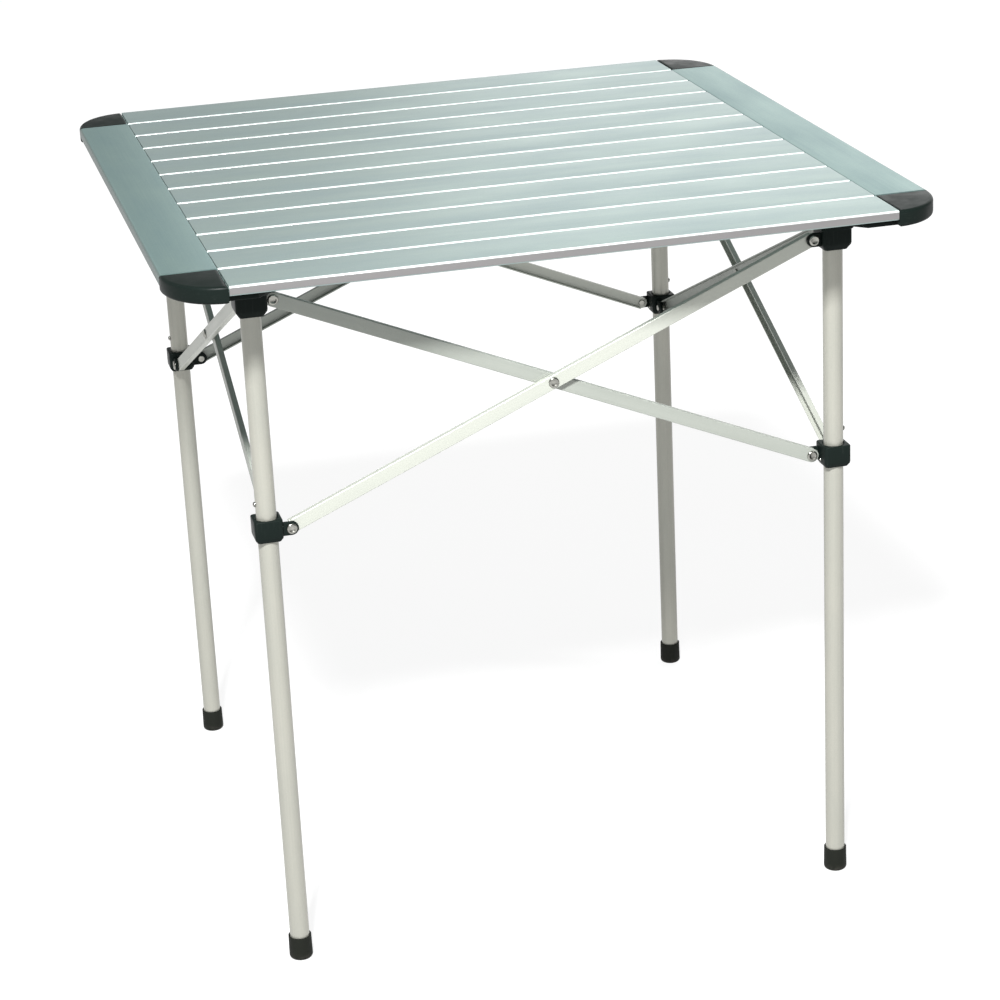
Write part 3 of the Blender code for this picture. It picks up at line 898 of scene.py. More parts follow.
class TreeMaker(NodeMaker):
    """Builds one Geometry Nodes tree with named inputs."""

    def __init__(self, name: str) -> None:
        """Start a tree with a geometry input.

        Args:
            name: Name of the tree.
        """
        super().__init__(bpy.data.node_groups.new(name, "GeometryNodeTree"))
        self.tree.interface.new_socket("Geometry", in_out="INPUT", socket_type="NodeSocketGeometry")
        self.entry = self.tree.nodes.new("NodeGroupInput")

    def input(self, name: str, kind: str = "Float") -> bpy.types.NodeSocket:
        """Add a named input.

        Args:
            name: Name of the input.
            kind: Float, Int, Object or Material.

        Returns:
            Its socket inside the tree.
        """
        self.tree.interface.new_socket(name, in_out="INPUT", socket_type=f"NodeSocket{kind}")
        return self.entry.outputs[name]

    def vector(self, x: Any = 0.0, y: Any = 0.0, z: Any = 0.0) -> bpy.types.NodeSocket:
        """Join three numbers or sockets to a vector."""
        return self.node("ShaderNodeCombineXYZ", {0: x, 1: y, 2: z}).outputs[0]

    def finish(self, geometry: bpy.types.NodeSocket) -> bpy.types.NodeTree:
        """End the tree in Realize Instances and Set Material.

        Args:
            geometry: The geometry to put out.

        Returns:
            The finished tree.
        """
        material = self.input("Finish", "Material")
        real = self.node("GeometryNodeRealizeInstances", {0: geometry})
        dressed = self.node("GeometryNodeSetMaterial", {0: real.outputs[0], "Material": material})
        self.tree.interface.new_socket("Geometry", in_out="OUTPUT", socket_type="NodeSocketGeometry")
        self.node("NodeGroupOutput", {0: dressed.outputs[0]})
        return self.tree


def grown(
    tree: bpy.types.NodeTree, values: dict[str, Any], carrier: Optional[bpy.types.Mesh] = None
) -> bpy.types.Mesh:
    """Plain mesh that a Geometry Nodes tree makes.

    Args:
        tree: The tree.
        values: Its named inputs.
        carrier: Mesh that the tree starts from, if it needs one.

    Returns:
        The mesh, with no modifier left.
    """
    holder = helper("grown", carrier or bpy.data.meshes.new("carrier"))
    modifier = holder.modifiers.new("Tree", "NODES")
    modifier.node_group = tree
    for item in tree.interface.items_tree:
        if item.item_type == "SOCKET" and item.in_out == "INPUT" and item.name in values:
            modifier[item.identifier] = values[item.name]
    return plain_mesh(holder)


def extrusion_tree() -> bpy.types.NodeTree:
    """Tree of a hollow slat along X: a round-cornered section with a row of cells, given a length.

    Returns:
        The tree.
    """
    make = TreeMaker("hollow_slat")
    width, thickness, length = make.input("Width"), make.input("Thickness"), make.input("Length")
    corner, wall, cells = make.input("Corner"), make.input("Wall"), make.input("Cells", "Int")
    rim = rounded_rectangle(make, width, thickness, corner, 6)
    walls = make.times(wall, make.plus(cells, 1.0))
    cell_width = make.math("DIVIDE", make.minus(width, walls), cells)
    cell_height = make.minus(thickness, make.times(wall, 2.0))
    cell = rounded_rectangle(make, cell_width, cell_height, make.minus(corner, wall), 3)
    pitch = make.plus(cell_width, wall)
    first = make.times(make.times(pitch, make.minus(cells, 1.0)), -0.5)
    inputs = {"Count": cells, "Start Location": make.vector(first), "Offset": make.vector(pitch)}
    row = make.node("GeometryNodeMeshLine", inputs)
    spread = make.node("GeometryNodeInstanceOnPoints", {"Points": row.outputs[0], "Instance": cell})
    voids = make.node("GeometryNodeRealizeInstances", {0: spread.outputs[0]})
    section = make.node("GeometryNodeJoinGeometry", {0: [voids.outputs[0], rim]})
    face = make.node("GeometryNodeFillCurve", {0: section.outputs[0]}, mode="TRIANGLES")
    inputs = {"Mesh": face.outputs[0], "Offset": make.vector(z=length), "Individual": False}
    drawn = make.node("GeometryNodeExtrudeMesh", inputs)
    back = make.node("GeometryNodeFlipFaces", {0: face.outputs[0]})
    closed = make.node("GeometryNodeJoinGeometry", {0: [drawn.outputs[0], back.outputs[0]]})
    inputs = {0: closed.outputs[0], "Translation": make.vector(z=make.times(length, -0.5))}
    centred = make.node("GeometryNodeTransform", inputs)
    inputs = {0: centred.outputs[0], "Rotation": (math.pi / 2, 0.0, math.pi / 2)}
    return make.finish(make.node("GeometryNodeTransform", inputs).outputs[0])


def rounded_rectangle(
    make: TreeMaker, width: Any, height: Any, radius: Any, steps: int
) -> bpy.types.NodeSocket:
    """Curve of a rectangle with round corners, in a tree.

    Args:
        make: Maker of the tree.
        width: Size along X.
        height: Size along Y.
        radius: Radius of the corners.
        steps: Points to a corner.

    Returns:
        The curve.
    """
    plain = make.node("GeometryNodeCurvePrimitiveQuadrilateral", {"Width": width, "Height": height})
    inputs = {0: plain.outputs[0], "Count": steps, "Radius": radius, "Limit Radius": True}
    return make.node("GeometryNodeFilletCurve", inputs, mode="POLY").outputs[0]


def fixing_tree() -> bpy.types.NodeTree:
    """Tree that sets one fixing on each point of a carrier, its axis along the point's facing attribute.

    Returns:
        The tree.
    """
    make = TreeMaker("fixings")
    fixing, seed = make.input("Fixing", "Object"), make.input("Seed", "Int")
    facing = make.node("GeometryNodeInputNamedAttribute", {"Name": "facing"}, data_type="FLOAT_VECTOR")
    aim = make.node("FunctionNodeAlignRotationToVector", {"Vector": facing.outputs[0]}, axis="Z")
    chance = make.node("FunctionNodeRandomValue", {"Seed": seed}, data_type="FLOAT")
    spin = make.times(chance.outputs[1], math.tau)
    turn = make.node("FunctionNodeAxisAngleToRotation", {"Angle": spin})
    inputs = {0: aim.outputs[0], 1: turn.outputs[0]}
    turned = make.node("FunctionNodeRotateRotation", inputs, rotation_space="LOCAL")
    shape = make.node("GeometryNodeObjectInfo", {"Object": fixing})
    inputs = {
        "Points": make.entry.outputs["Geometry"],
        "Instance": shape.outputs["Geometry"],
        "Rotation": turned.outputs[0],
    }
    return make.finish(make.node("GeometryNodeInstanceOnPoints", inputs).outputs[0])


def cord_tree() -> bpy.types.NodeTree:
    """Tree of short cord links along Y, one on each point of a carrier, each a little arched.

    Returns:
        The tree.
    """
    make = TreeMaker("cord_links")
    reach, radius, rise = make.input("Reach"), make.input("Radius"), make.input("Rise")
    back = make.vector(y=make.times(reach, -1.0))
    line = make.node("GeometryNodeCurvePrimitiveLine", {"Start": back, "End": make.vector(y=reach)})
    path = make.node("GeometryNodeResampleCurve", {0: line.outputs[0], "Count": 9})
    share = make.node("GeometryNodeSplineParameter").outputs["Factor"]
    bow = make.math("SINE", make.times(share, math.pi))
    lift = make.vector(z=make.times(bow, rise))
    arched = make.node("GeometryNodeSetPosition", {0: path.outputs[0], "Offset": lift})
    section = make.node("GeometryNodeCurvePrimitiveCircle", {"Resolution": 12, "Radius": radius})
    inputs = {0: arched.outputs[0], 1: section.outputs[0], "Fill Caps": True}
    link = make.node("GeometryNodeCurveToMesh", inputs)
    inputs = {"Points": make.entry.outputs["Geometry"], "Instance": link.outputs[0]}
    return make.finish(make.node("GeometryNodeInstanceOnPoints", inputs).outputs[0])


# ---------------------------------------------------------------- workshop


class Workshop:
    """Adds finished pieces to the scene and keeps one material for each finish."""

    sharp_angle: float = math.radians(32)
    fixing_shift: float = 0.05

    def __init__(self) -> None:
        """Start with no materials and no pieces."""
        self.materials: dict[Finish, bpy.types.Material] = {}
        self.fixing_tree = fixing_tree()
        self.count = 0

    def material(self, finish: Finish) -> bpy.types.Material:
        """Material of a finish, built once.

        Args:
            finish: The finish.

        Returns:
            Its material.
        """
        if finish not in self.materials:
            self.materials[finish] = finish.material()
        return self.materials[finish]

    def fixings(self, shape: bpy.types.Mesh, spots: Sequence[Spot], seed: int) -> bpy.types.Mesh:
        """Mesh of one fixing set at several spots.

        Args:
            shape: The fixing, its axis along Z.
            spots: Place and outward direction of each.
            seed: Seed of their turns about their own axes.

        Returns:
            The mesh, with its grain written.
        """
        carrier = bpy.data.meshes.new("spots")
        carrier.from_pydata([tuple(place) for place, _ in spots], [], [])
        facing = carrier.attributes.new("facing", "FLOAT_VECTOR", "POINT")
        facing.data.foreach_set("vector", [number for _, outward in spots for number in outward])
        fixing = helper("fixing", shape)
        values = {"Fixing": fixing, "Seed": seed, "Finish": self.material(RIVET_FINISH)}
        mesh = lay_grain(grown(self.fixing_tree, values, carrier), shift=seed * self.fixing_shift)
        bpy.data.objects.remove(fixing, do_unlink=True)
        return mesh

    def replace(self, node: str, mesh: bpy.types.Mesh, finish: Finish, body: str, slot: Slot) -> None:
        """Add the finished piece that stands for a CAD node, named after it.

        Args:
            node: The CAD node.
            mesh: The piece's mesh, in the table's own frame.
            finish: Its finish.
            body: The body it rides on.
            slot: The record's slot of its finish.
        """
        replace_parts(self.add(f"{node}_finished", mesh, finish, body, slot), node)

    def add(
        self, name: str, mesh: bpy.types.Mesh, finish: Finish, body: Optional[str], slot: Slot
    ) -> bpy.types.Object:
        """Add one finished piece.

        Args:
            name: Name of the piece.
            mesh: Its mesh, in the table's own frame.
            finish: Its finish.
            body: The body it rides on, or None for a piece that rides on no body.
            slot: The record's slot of its finish; not used.

        Returns:
            The piece.
        """
        mesh.name = name
        mesh.materials.clear()
        mesh.materials.append(self.material(finish))
        mesh.shade_smooth()
        mesh.set_sharp_from_angle(angle=self.sharp_angle)
        piece = helper(name, mesh)
        if body:
            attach(piece, body)
        self.count += 1
        LOG.info("%s: %d faces on %s", name, len(mesh.polygons), body or "two bodies")
        return piece


# ---------------------------------------------------------------- the table


@dataclass
class TableTop:
    """Slats, the cords that thread them, end rails and corner caps."""

    width: float = 0.700
    depth: float = 0.720
    height: float = 0.690
    slat_count: int = 12
    slat_length: float = 0.5976
    slat_gap: float = 2.0 * MM
    slat_thickness: float = 9.0 * MM
    slat_corner: float = 2.1 * MM
    slat_wall: float = 0.9 * MM
    slat_cells: int = 3
    rail_seam: float = 0.5 * MM
    rail_length: float = 0.600
    rail_height: float = 12.0 * MM
    rail_corner: float = 3.0 * MM
    rail_arris: float = 0.6 * MM
    rail_wall: float = 1.2 * MM
    ledge_reach: float = 16.0 * MM
    ledge_thickness: float = 1.5 * MM
    play: float = 0.3 * MM
    cap_height: float = 15.5 * MM
    cap_edge: float = 3.2 * MM
    cap_steps: int = 28
    tongue_x: float = 0.262
    tongue_low_y: float = 0.246
    tongue_high_y: float = 0.351
    tongue_slant: float = 11.0 * MM
    tongue_edge: float = 0.8 * MM
    pad_step: float = 1.0 * MM
    pad_corner: float = 1.5 * MM
    plug_play: float = 0.4 * MM
    plug_length: float = 20.0 * MM
    plug_corner: float = 1.0 * MM
    plug_edge: float = 0.5 * MM
    cord_radius: float = 1.5 * MM
    cord_reach: float = 3.4 * MM
    cord_drop: float = 1.9 * MM
    cord_rise: float = 0.4 * MM
    cord_inset: float = 62.0 * MM
    cord_spacing: float = 24.0 * MM
    slat_shift: float = 0.83
    rail_shift: float = 1.7
    cap_shift: float = 0.31

    @property
    def slat_width(self) -> float:
        """Width of one slat."""
        return (self.depth - (self.slat_count - 1) * self.slat_gap) / self.slat_count

    @property
    def slat_pitch(self) -> float:
        """Distance from one slat to the next."""
        return self.slat_width + self.slat_gap

    @property
    def rail_inner(self) -> float:
        """Distance of the rails' inner faces from the middle."""
        return self.slat_length / 2 + self.rail_seam

    @property
    def ledge_top(self) -> float:
        """Height of the ledge that the slat ends lie on."""
        return self.height - self.slat_thickness - self.play

    @property
    def cap_end(self) -> float:
        """Distance of the caps' flat ends from the middle, along Y."""
        return self.rail_length / 2 + self.play

    def slat_body(self, number: int) -> str:
        """Body that carries a slat, counted from the front."""
        return "table_top" if number == 1 else f"slat_{number:02d}"

    def build(self, shop: Workshop) -> None:
        """Make and dress every piece of the top.

        Args:
            shop: Where the pieces are added.
        """
        self.build_slats(shop)
        self.build_cords(shop)
        self.build_rails(shop)
        self.build_caps(shop)

    def build_slats(self, shop: Workshop) -> None:
        """Lay the slats from front to back.

        Args:
            shop: Where the pieces are added.
        """
        tree = extrusion_tree()
        values = {
            "Width": self.slat_width,
            "Thickness": self.slat_thickness,
            "Length": self.slat_length,
            "Corner": self.slat_corner,
            "Wall": self.slat_wall,
            "Cells": self.slat_cells,
            "Finish": shop.material(SLAT_FINISH),
        }
        middle = self.height - self.slat_thickness / 2
        for number in range(1, self.slat_count + 1):
            y = -self.depth / 2 + self.slat_width / 2 + (number - 1) * self.slat_pitch
            place = Matrix.Translation((0.0, y, middle))
            mesh = laid(grown(tree, values), place, shift=number * self.slat_shift)
            shop.replace(f"slat_{number:02d}", mesh, SLAT_FINISH, self.slat_body(number), Slot.SLAT)

    def build_cords(self, shop: Workshop) -> None:
        """Bridge the gaps between the slats with the links of the elastic cords.

        Args:
            shop: Where the pieces are added.
        """
        tree = cord_tree()
        first = self.slat_length / 2 - self.cord_inset
        places = [side * (first - step * self.cord_spacing) for side in (-1, 1) for step in (0, 1)]
        values = {
            "Reach": self.cord_reach,
            "Radius": self.cord_radius,
            "Rise": self.cord_rise,
            "Finish": shop.material(CORD_FINISH),
        }
        z = self.height - self.cord_drop
        for number in range(1, self.slat_count):
            y = -self.depth / 2 + number * self.slat_pitch - self.slat_gap / 2
            carrier = bpy.data.meshes.new("link_points")
            carrier.from_pydata([(x, y, z) for x in places], [], [])
            mesh = lay_grain(grown(tree, values, carrier), "YXZ")
            links = shop.add(f"cord_links_{number:02d}", mesh, CORD_FINISH, None, Slot.PLASTIC)
            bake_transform(links)

    def rail_section(self) -> list[list[Pair]]:
        """Outlines of the right rail in X and Z.

        Returns:
            Its rim, then its cavity.
        """
        low, high = self.height - self.rail_height, self.height
        outer_x = self.width / 2
        tip = self.rail_inner - self.ledge_reach
        ledge_low = self.ledge_top - self.ledge_thickness
        corner, arris = self.rail_corner, self.rail_arris
        rim = [(tip, self.ledge_top), (tip, ledge_low), (self.rail_inner, ledge_low), (self.rail_inner, low)]
        rim += arc((outer_x - corner, low + corner), corner, -math.pi / 2, 0.0, 6)
        rim += arc((outer_x - corner, high - corner), corner, 0.0, math.pi / 2, 6)
        rim += arc((self.rail_inner + arris, high - arris), arris, math.pi / 2, math.pi, 3)
        rim += [(self.rail_inner, self.ledge_top)]
        left, right = self.rail_inner + self.rail_wall, outer_x - self.rail_wall
        floor, roof = low + self.rail_wall, high - self.rail_wall
        inner = corner - self.rail_wall
        cavity = [(left, roof), (left, floor)]
        cavity += arc((right - inner, floor + inner), inner, -math.pi / 2, 0.0, 4)
        cavity += arc((right - inner, roof - inner), inner, 0.0, math.pi / 2, 4)
        return [rim, cavity]

    def build_rails(self, shop: Workshop) -> None:
        """Set the two end rails, the left one being the right one turned round.

        Args:
            shop: Where the pieces are added.
        """
        mesh = prism(self.rail_section(), self.rail_length, placed((1, 0, 0), (0, 0, 1)))
        for node, turn, shift in (("end_rail_right", 0.0, 0.0), ("end_rail_left", math.pi, self.rail_shift)):
            rail = laid(mesh, Matrix.Rotation(turn, 4, "Z"), "YXZ", shift)
            shop.replace(node, rail, RAIL_FINISH_WITH_PAINTED_SHADE, "table_top", Slot.RAIL)

    def cap_mesh(self) -> bpy.types.Mesh:
        """Corner cap at the right back, with its plug and its tongue under the slats.

        Returns:
            The closed mesh.
        """
        reach_x = self.width / 2 - self.rail_inner
        reach_y = self.depth / 2 - self.cap_end
        outline = [(self.rail_inner, self.cap_end)]
        outline += [
            (self.rail_inner + reach_x * x, self.cap_end + reach_y * y)
            for x, y in arc((0.0, 0.0), 1.0, 0.0, math.pi / 2, self.cap_steps)
        ]
        middle = Matrix.Translation((0.0, 0.0, self.height - self.cap_height / 2))
        corner = prism([outline], self.cap_height, middle, self.cap_edge, 4)
        return combined(corner, joined=self.cap_fittings())

    def cap_fittings(self) -> list[bpy.types.Mesh]:
        """Fittings of the corner cap at the right back.

        Returns:
            Its tongue, the pad on it and its plug.
        """
        low, high = self.tongue_low_y, self.tongue_high_y
        near, start = self.tongue_x, self.tongue_x + self.tongue_slant
        root = self.rail_inner + 3 * self.cap_edge
        clear_x, clear_y = self.rail_inner - self.rail_seam, self.cap_end + self.cap_edge
        outline = [(root, high), (start, high), (near, high - self.tongue_slant), (near, low)]
        outline += [(clear_x, low), (clear_x, clear_y), (root, clear_y)]
        bottom = self.height - self.cap_height
        top = self.ledge_top - self.ledge_thickness - self.play
        middle = Matrix.Translation((0.0, 0.0, (bottom + top) / 2))
        tongue = prism([outline], top - bottom, middle, self.tongue_edge)
        pad_high, pad_low = high - self.pad_step, top - self.pad_step
        pad_outline = rounded_box(root - near - self.tongue_slant, pad_high - self.cap_end, self.pad_corner)
        pad_x, pad_y = (start + root) / 2, (self.cap_end + pad_high) / 2
        pad_place = Matrix.Translation((pad_x, pad_y, (pad_low + self.ledge_top) / 2))
        pad = prism([pad_outline], self.ledge_top - pad_low, pad_place)
        return [tongue, pad, self.plug_mesh()]

    def plug_mesh(self) -> bpy.types.Mesh:
        """Plug of the corner cap that goes into the end of the right rail.

        Returns:
            The closed mesh.
        """
        left = self.rail_inner + self.rail_wall + self.plug_play
        right = self.width / 2 - self.rail_corner - self.plug_play
        low = self.height - self.rail_height + self.rail_wall + self.plug_play
        high = self.height - self.rail_wall - self.plug_play
        near, far = self.cap_end - self.plug_length, self.cap_end + 3 * self.cap_edge
        outline = rounded_box(right - left, high - low, self.plug_corner)
        place = placed((1, 0, 0), (0, 0, 1), ((left + right) / 2, (near + far) / 2, (low + high) / 2))
        return prism([outline], far - near, place, self.plug_edge)

    def build_caps(self, shop: Workshop) -> None:
        """Set the four corner caps.

        Args:
            shop: Where the pieces are added.
        """
        cap = self.cap_mesh()
        mirror = Matrix.Scale(-1.0, 4, AXIS_X)
        half_turn = Matrix.Rotation(math.pi, 4, "Z")
        places = {
            Corner.BACK_RIGHT: Matrix.Identity(4),
            Corner.BACK_LEFT: mirror,
            Corner.FRONT_LEFT: half_turn,
            Corner.FRONT_RIGHT: half_turn @ mirror,
        }
        for corner, place in places.items():
            mesh = lay_grain(moved(cap, place), shift=corner.value * self.cap_shift)
            shop.replace(f"corner_cap_{corner.label}", mesh, PLASTIC_FINISH, "table_top", Slot.PLASTIC)


@dataclass
class ScissorPlan:
    """Sizes and pivots that the legs, their fittings and the bars share."""

    leg_inset: float = 0.270
    leg_radius: float = 9.3 * MM
    leg_play: float = 0.3 * MM
    hole_radius: float = 2.3 * MM
    pivot_reach: float = 21.0 * MM
    top_z: float = 0.648
    collar_z: float = 0.437

    @property
    def pivot_x(self) -> float:
        """Distance of the pivots from the middle of a side."""
        return self.leg_inset - self.pivot_reach

    @property
    def crossing_z(self) -> float:
        """Height at which the bars cross."""
        return (self.top_z + self.collar_z) / 2

    @property
    def tilt(self) -> float:
        """Angle of the bars above the horizontal."""
        return math.atan2(self.top_z - self.collar_z, 2 * self.pivot_x)

    @property
    def bar_length(self) -> float:
        """Distance between the end pivots of a bar."""
        return math.hypot(self.top_z - self.collar_z, 2 * self.pivot_x)

    def leg_place(self, corner: Corner) -> Matrix:
        """Place of a leg's axis on the ground, turned to its corner."""
        return corner.turn @ Matrix.Translation((-self.leg_inset, -self.leg_inset, 0.0))

    def point(self, side: Side, x: float, z: float) -> Vector:
        """A point on a side, in the plane of its leg axes.

        Args:
            side: The side.
            x: Distance from the middle, to the right seen from outside.
            z: Height.

        Returns:
            The point in the table's frame.
        """
        return side.turn @ Vector((x, -self.leg_inset, z))


@dataclass
class Legs:
    """Leg tubes, feet and the stop rivets above the collars."""

    plan: ScissorPlan
    wall: float = 1.0 * MM
    bottom: float = 3.3 * MM
    top: float = 0.6684
    lip: float = 0.25 * MM
    steps: int = 56
    foot_height: float = 24.0 * MM
    foot_radius: float = 11.2 * MM
    foot_rim_radius: float = 10.9 * MM
    foot_floor: float = 3.0 * MM
    foot_edge: float = 3.6 * MM
    rim_edge: float = 0.5 * MM
    rim_flare: float = 0.9 * MM
    stop_z: float = 0.461
    stop_radius: float = 2.4 * MM
    stop_height: float = 1.8 * MM
    stop_play: float = 0.3 * MM
    pin_radius: float = 1.4 * MM
    pin_depth: float = 2.0 * MM
    tube_shift: float = 0.57

    def tube_mesh(self) -> bpy.types.Mesh:
        """Leg tube about its own axis, its ends lightly rounded.

        Returns:
            The closed mesh.
        """
        outer, lip = self.plan.leg_radius, self.lip
        inner, top, bottom = outer - self.wall, self.top, self.bottom
        profile = [(inner + lip, top), (outer - lip, top), (outer, top - lip), (outer, bottom + lip)]
        profile += [(outer - lip, bottom), (inner + lip, bottom), (inner, bottom + lip), (inner, top - lip)]
        return lathe(profile, self.steps, ring=True)

    def foot_mesh(self) -> bpy.types.Mesh:
        """Foot cap: a cup with a round lower edge and a flared, rounded rim.

        Returns:
            The closed mesh.
        """
        socket = self.plan.leg_radius + self.plan.leg_play
        top, edge = self.foot_height, self.rim_edge
        profile = [(0.0, self.foot_floor), (socket, self.foot_floor), (socket, top - self.rim_flare)]
        profile += arc((self.foot_rim_radius - edge, top - edge), edge, math.pi * 0.75, 0.0, 5)
        heel = self.foot_edge
        profile += arc((self.foot_radius - heel, heel), heel, 0.0, -math.pi / 2, 8)
        profile += [(0.0, 0.0)]
        return lathe(profile, self.steps)

    def stop_mesh(self) -> bpy.types.Mesh:
        """Domed stop rivet along Z, its head a little clear of the leg's face at z = 0.

        Returns:
            The closed mesh.
        """
        dome = arc((0.0, 0.0), 1.0, math.pi / 2, 0.0, 8)
        profile = [(self.stop_radius * x, self.stop_play + self.stop_height * y) for x, y in dome]
        pin, tip = self.pin_radius, -self.pin_depth
        profile += [(pin, self.stop_play), (pin, tip), (0.0, tip)]
        return lathe(profile, 24)

    def build(self, shop: Workshop) -> None:
        """Make and dress the legs.

        Args:
            shop: Where the pieces are added.
        """
        tube, foot, stop = self.tube_mesh(), self.foot_mesh(), self.stop_mesh()
        for corner in Corner:
            body, place = f"{corner.label}_leg", self.plan.leg_place(corner)
            leg = laid(tube, place, "ZXY", corner.value * self.tube_shift)
            shop.replace(f"leg_{corner.label}", leg, LEG_FINISH, body, Slot.LEG)
            shop.replace(f"foot_{corner.label}", laid(foot, place, "ZXY"), FOOT_FINISH, body, Slot.FOOT)
            outward = Vector((math.copysign(1.0, place.translation.x), 0.0, 0.0))
            spot = place.translation + outward * self.plan.leg_radius + Vector((0.0, 0.0, self.stop_z))
            rivet = shop.fixings(stop, [(spot, outward)], corner.value)
            shop.replace(f"collar_stop_{corner.label}", rivet, RIVET_FINISH, body, Slot.RIVET)


@dataclass
class Fittings:
    """Top brackets and sliding collars, the black plastic parts on the legs."""

    plan: ScissorPlan
    ear_near: float = 6.0 * MM
    ear_thickness: float = 3.0 * MM
    ear_radius: float = 6.5 * MM
    ear_root: float = 6.0 * MM
    ear_edge: float = 0.7 * MM
    bracket_top: float = 0.6742
    bracket_bottom: float = 0.637
    bracket_half: float = 14.2 * MM
    bracket_foot: float = 11.2 * MM
    bracket_taper: float = 6.0 * MM
    plate_half: float = 15.5 * MM
    plate_bottom: float = 0.6562
    plate_slope: float = 1.3 * MM
    roof: float = 5.5 * MM
    collar_height: float = 21.0 * MM
    collar_half: float = 13.0 * MM
    collar_foot: float = 11.2 * MM
    collar_taper: float = 4.0 * MM
    corner_radius: float = 3.0 * MM
    edge: float = 0.9 * MM
    taper_blend: float = 1.0 * MM
    taper_inset: float = 0.4 * MM
    mouth: float = 1.1 * MM
    screw_radius: float = 1.7 * MM
    screw_height: float = 0.7 * MM
    screw_rise: float = 6.0 * MM
    screw_shank: float = 0.6 * MM
    screw_seed: int = 20
    shift: float = 0.43

    def shaft(self, levels: Sequence[Pair]) -> bpy.types.Mesh:
        """Round-cornered square shaft with rounded top and bottom edges.

        Args:
            levels: Half width and height of each level, downwards.

        Returns:
            The closed mesh.
        """
        turns = [step * math.pi / 6 for step in range(4)]
        rounding = [(self.edge * (1 - math.sin(turn)), self.edge * (1 - math.cos(turn))) for turn in turns]
        (top_half, top), (low_half, low) = levels[0], levels[-1]
        rings = [(top_half - inset, top - drop) for inset, drop in rounding]
        rings += levels[1:-1]
        rings += [(low_half - inset, low + rise) for rise, inset in rounding]
        corner = self.corner_radius
        return loft([[(x, y, z) for x, y in rounded_box(2 * half, 2 * half, corner, 6)] for half, z in rings])

    def ear(self, along: Triple, outward: Triple, layer: Layer, pivot_z: float) -> bpy.types.Mesh:
        """Flat ear with a pivot hole, from a leg's axis towards one side.

        Args:
            along: Direction from the leg to the pivot.
            outward: Direction out of that side.
            layer: Layer the ear lies in.
            pivot_z: Height of the pivot.

        Returns:
            The closed mesh.
        """
        reach = self.plan.pivot_reach
        outline = [(self.ear_root, -self.ear_radius)]
        outline += arc((reach, 0.0), self.ear_radius, -math.pi / 2, math.pi / 2, 20)
        outline += [(self.ear_root, self.ear_radius)]
        offset = layer.value * (self.ear_near + self.ear_thickness / 2)
        middle = Vector(outward) * offset + Vector((0.0, 0.0, pivot_z))
        hole = circle((reach, 0.0), self.plan.hole_radius)
        return prism([outline, hole], self.ear_thickness, placed(along, (0, 0, 1), middle), self.ear_edge)

    def bracket_mesh(self) -> bpy.types.Mesh:
        """Top bracket about its leg's axis: an inner ear towards +X and an outer ear towards +Y.

        Returns:
            The closed mesh.
        """
        taper = self.bracket_bottom + self.bracket_taper
        levels = [
            (self.plate_half, self.bracket_top),
            (self.plate_half, self.plate_bottom + self.plate_slope),
            (self.bracket_half, self.plate_bottom),
            (self.bracket_half, taper + self.taper_blend),
            (self.bracket_half - self.taper_inset, taper - self.taper_blend),
            (self.bracket_foot, self.bracket_bottom),
        ]
        ears = [
            self.ear((1, 0, 0), (0, -1, 0), Layer.INNER, self.plan.top_z),
            self.ear((0, 1, 0), (-1, 0, 0), Layer.OUTER, self.plan.top_z),
        ]
        socket = self.bore(self.bracket_bottom, self.bracket_top - self.roof, False)
        return combined(self.shaft(levels), joined=ears, cut=[socket])

    def bore(self, low: float, high: float, open_top: bool) -> bpy.types.Mesh:
        """Cutter for the leg's bore, its mouths flared.

        Args:
            low: Height of the lower mouth.
            high: Height of the upper end.
            open_top: Whether the bore runs through the top as well.

        Returns:
            The cutter.
        """
        radius, mouth = self.plan.leg_radius + self.plan.leg_play, self.mouth
        profile = [(0.0, high), (radius, high)]
        if open_top:
            wide = radius + 2 * mouth
            profile = [(0.0, high + mouth), (wide, high + mouth), (radius, high - mouth)]
        profile += [(radius, low + mouth / 2), (radius + mouth, low - mouth / 2), (0.0, low - mouth / 2)]
        return lathe(profile, 56)

    def collar_mesh(self) -> bpy.types.Mesh:
        """Sliding collar about its leg's axis: an outer ear towards +X and an inner ear towards +Y.

        Returns:
            The closed mesh.
        """
        high = self.plan.collar_z + self.collar_height / 2
        low = high - self.collar_height
        taper = low + self.collar_taper
        levels = [
            (self.collar_half, high),
            (self.collar_half, taper + self.taper_blend),
            (self.collar_half - self.taper_inset, taper - self.taper_blend),
            (self.collar_foot, low),
        ]
        ears = [
            self.ear((1, 0, 0), (0, -1, 0), Layer.OUTER, self.plan.collar_z),
            self.ear((0, 1, 0), (-1, 0, 0), Layer.INNER, self.plan.collar_z),
        ]
        return combined(self.shaft(levels), joined=ears, cut=[self.bore(low, high, True)])

    def screw_mesh(self) -> bpy.types.Mesh:
        """Small domed screw along Z with a round recess, its head standing proud of z = 0.

        Returns:
            The closed mesh.
        """
        radius, height = self.screw_radius, self.screw_height
        profile = [(0.0, height * 0.45), (radius * 0.3, height * 0.45), (radius * 0.4, height)]
        profile += [(radius * x, height * y) for x, y in arc((0.0, 0.0), 1.0, math.radians(60), 0.0, 5)]
        profile += [(radius, -self.screw_shank), (0.0, -self.screw_shank)]
        return lathe(profile, 20)

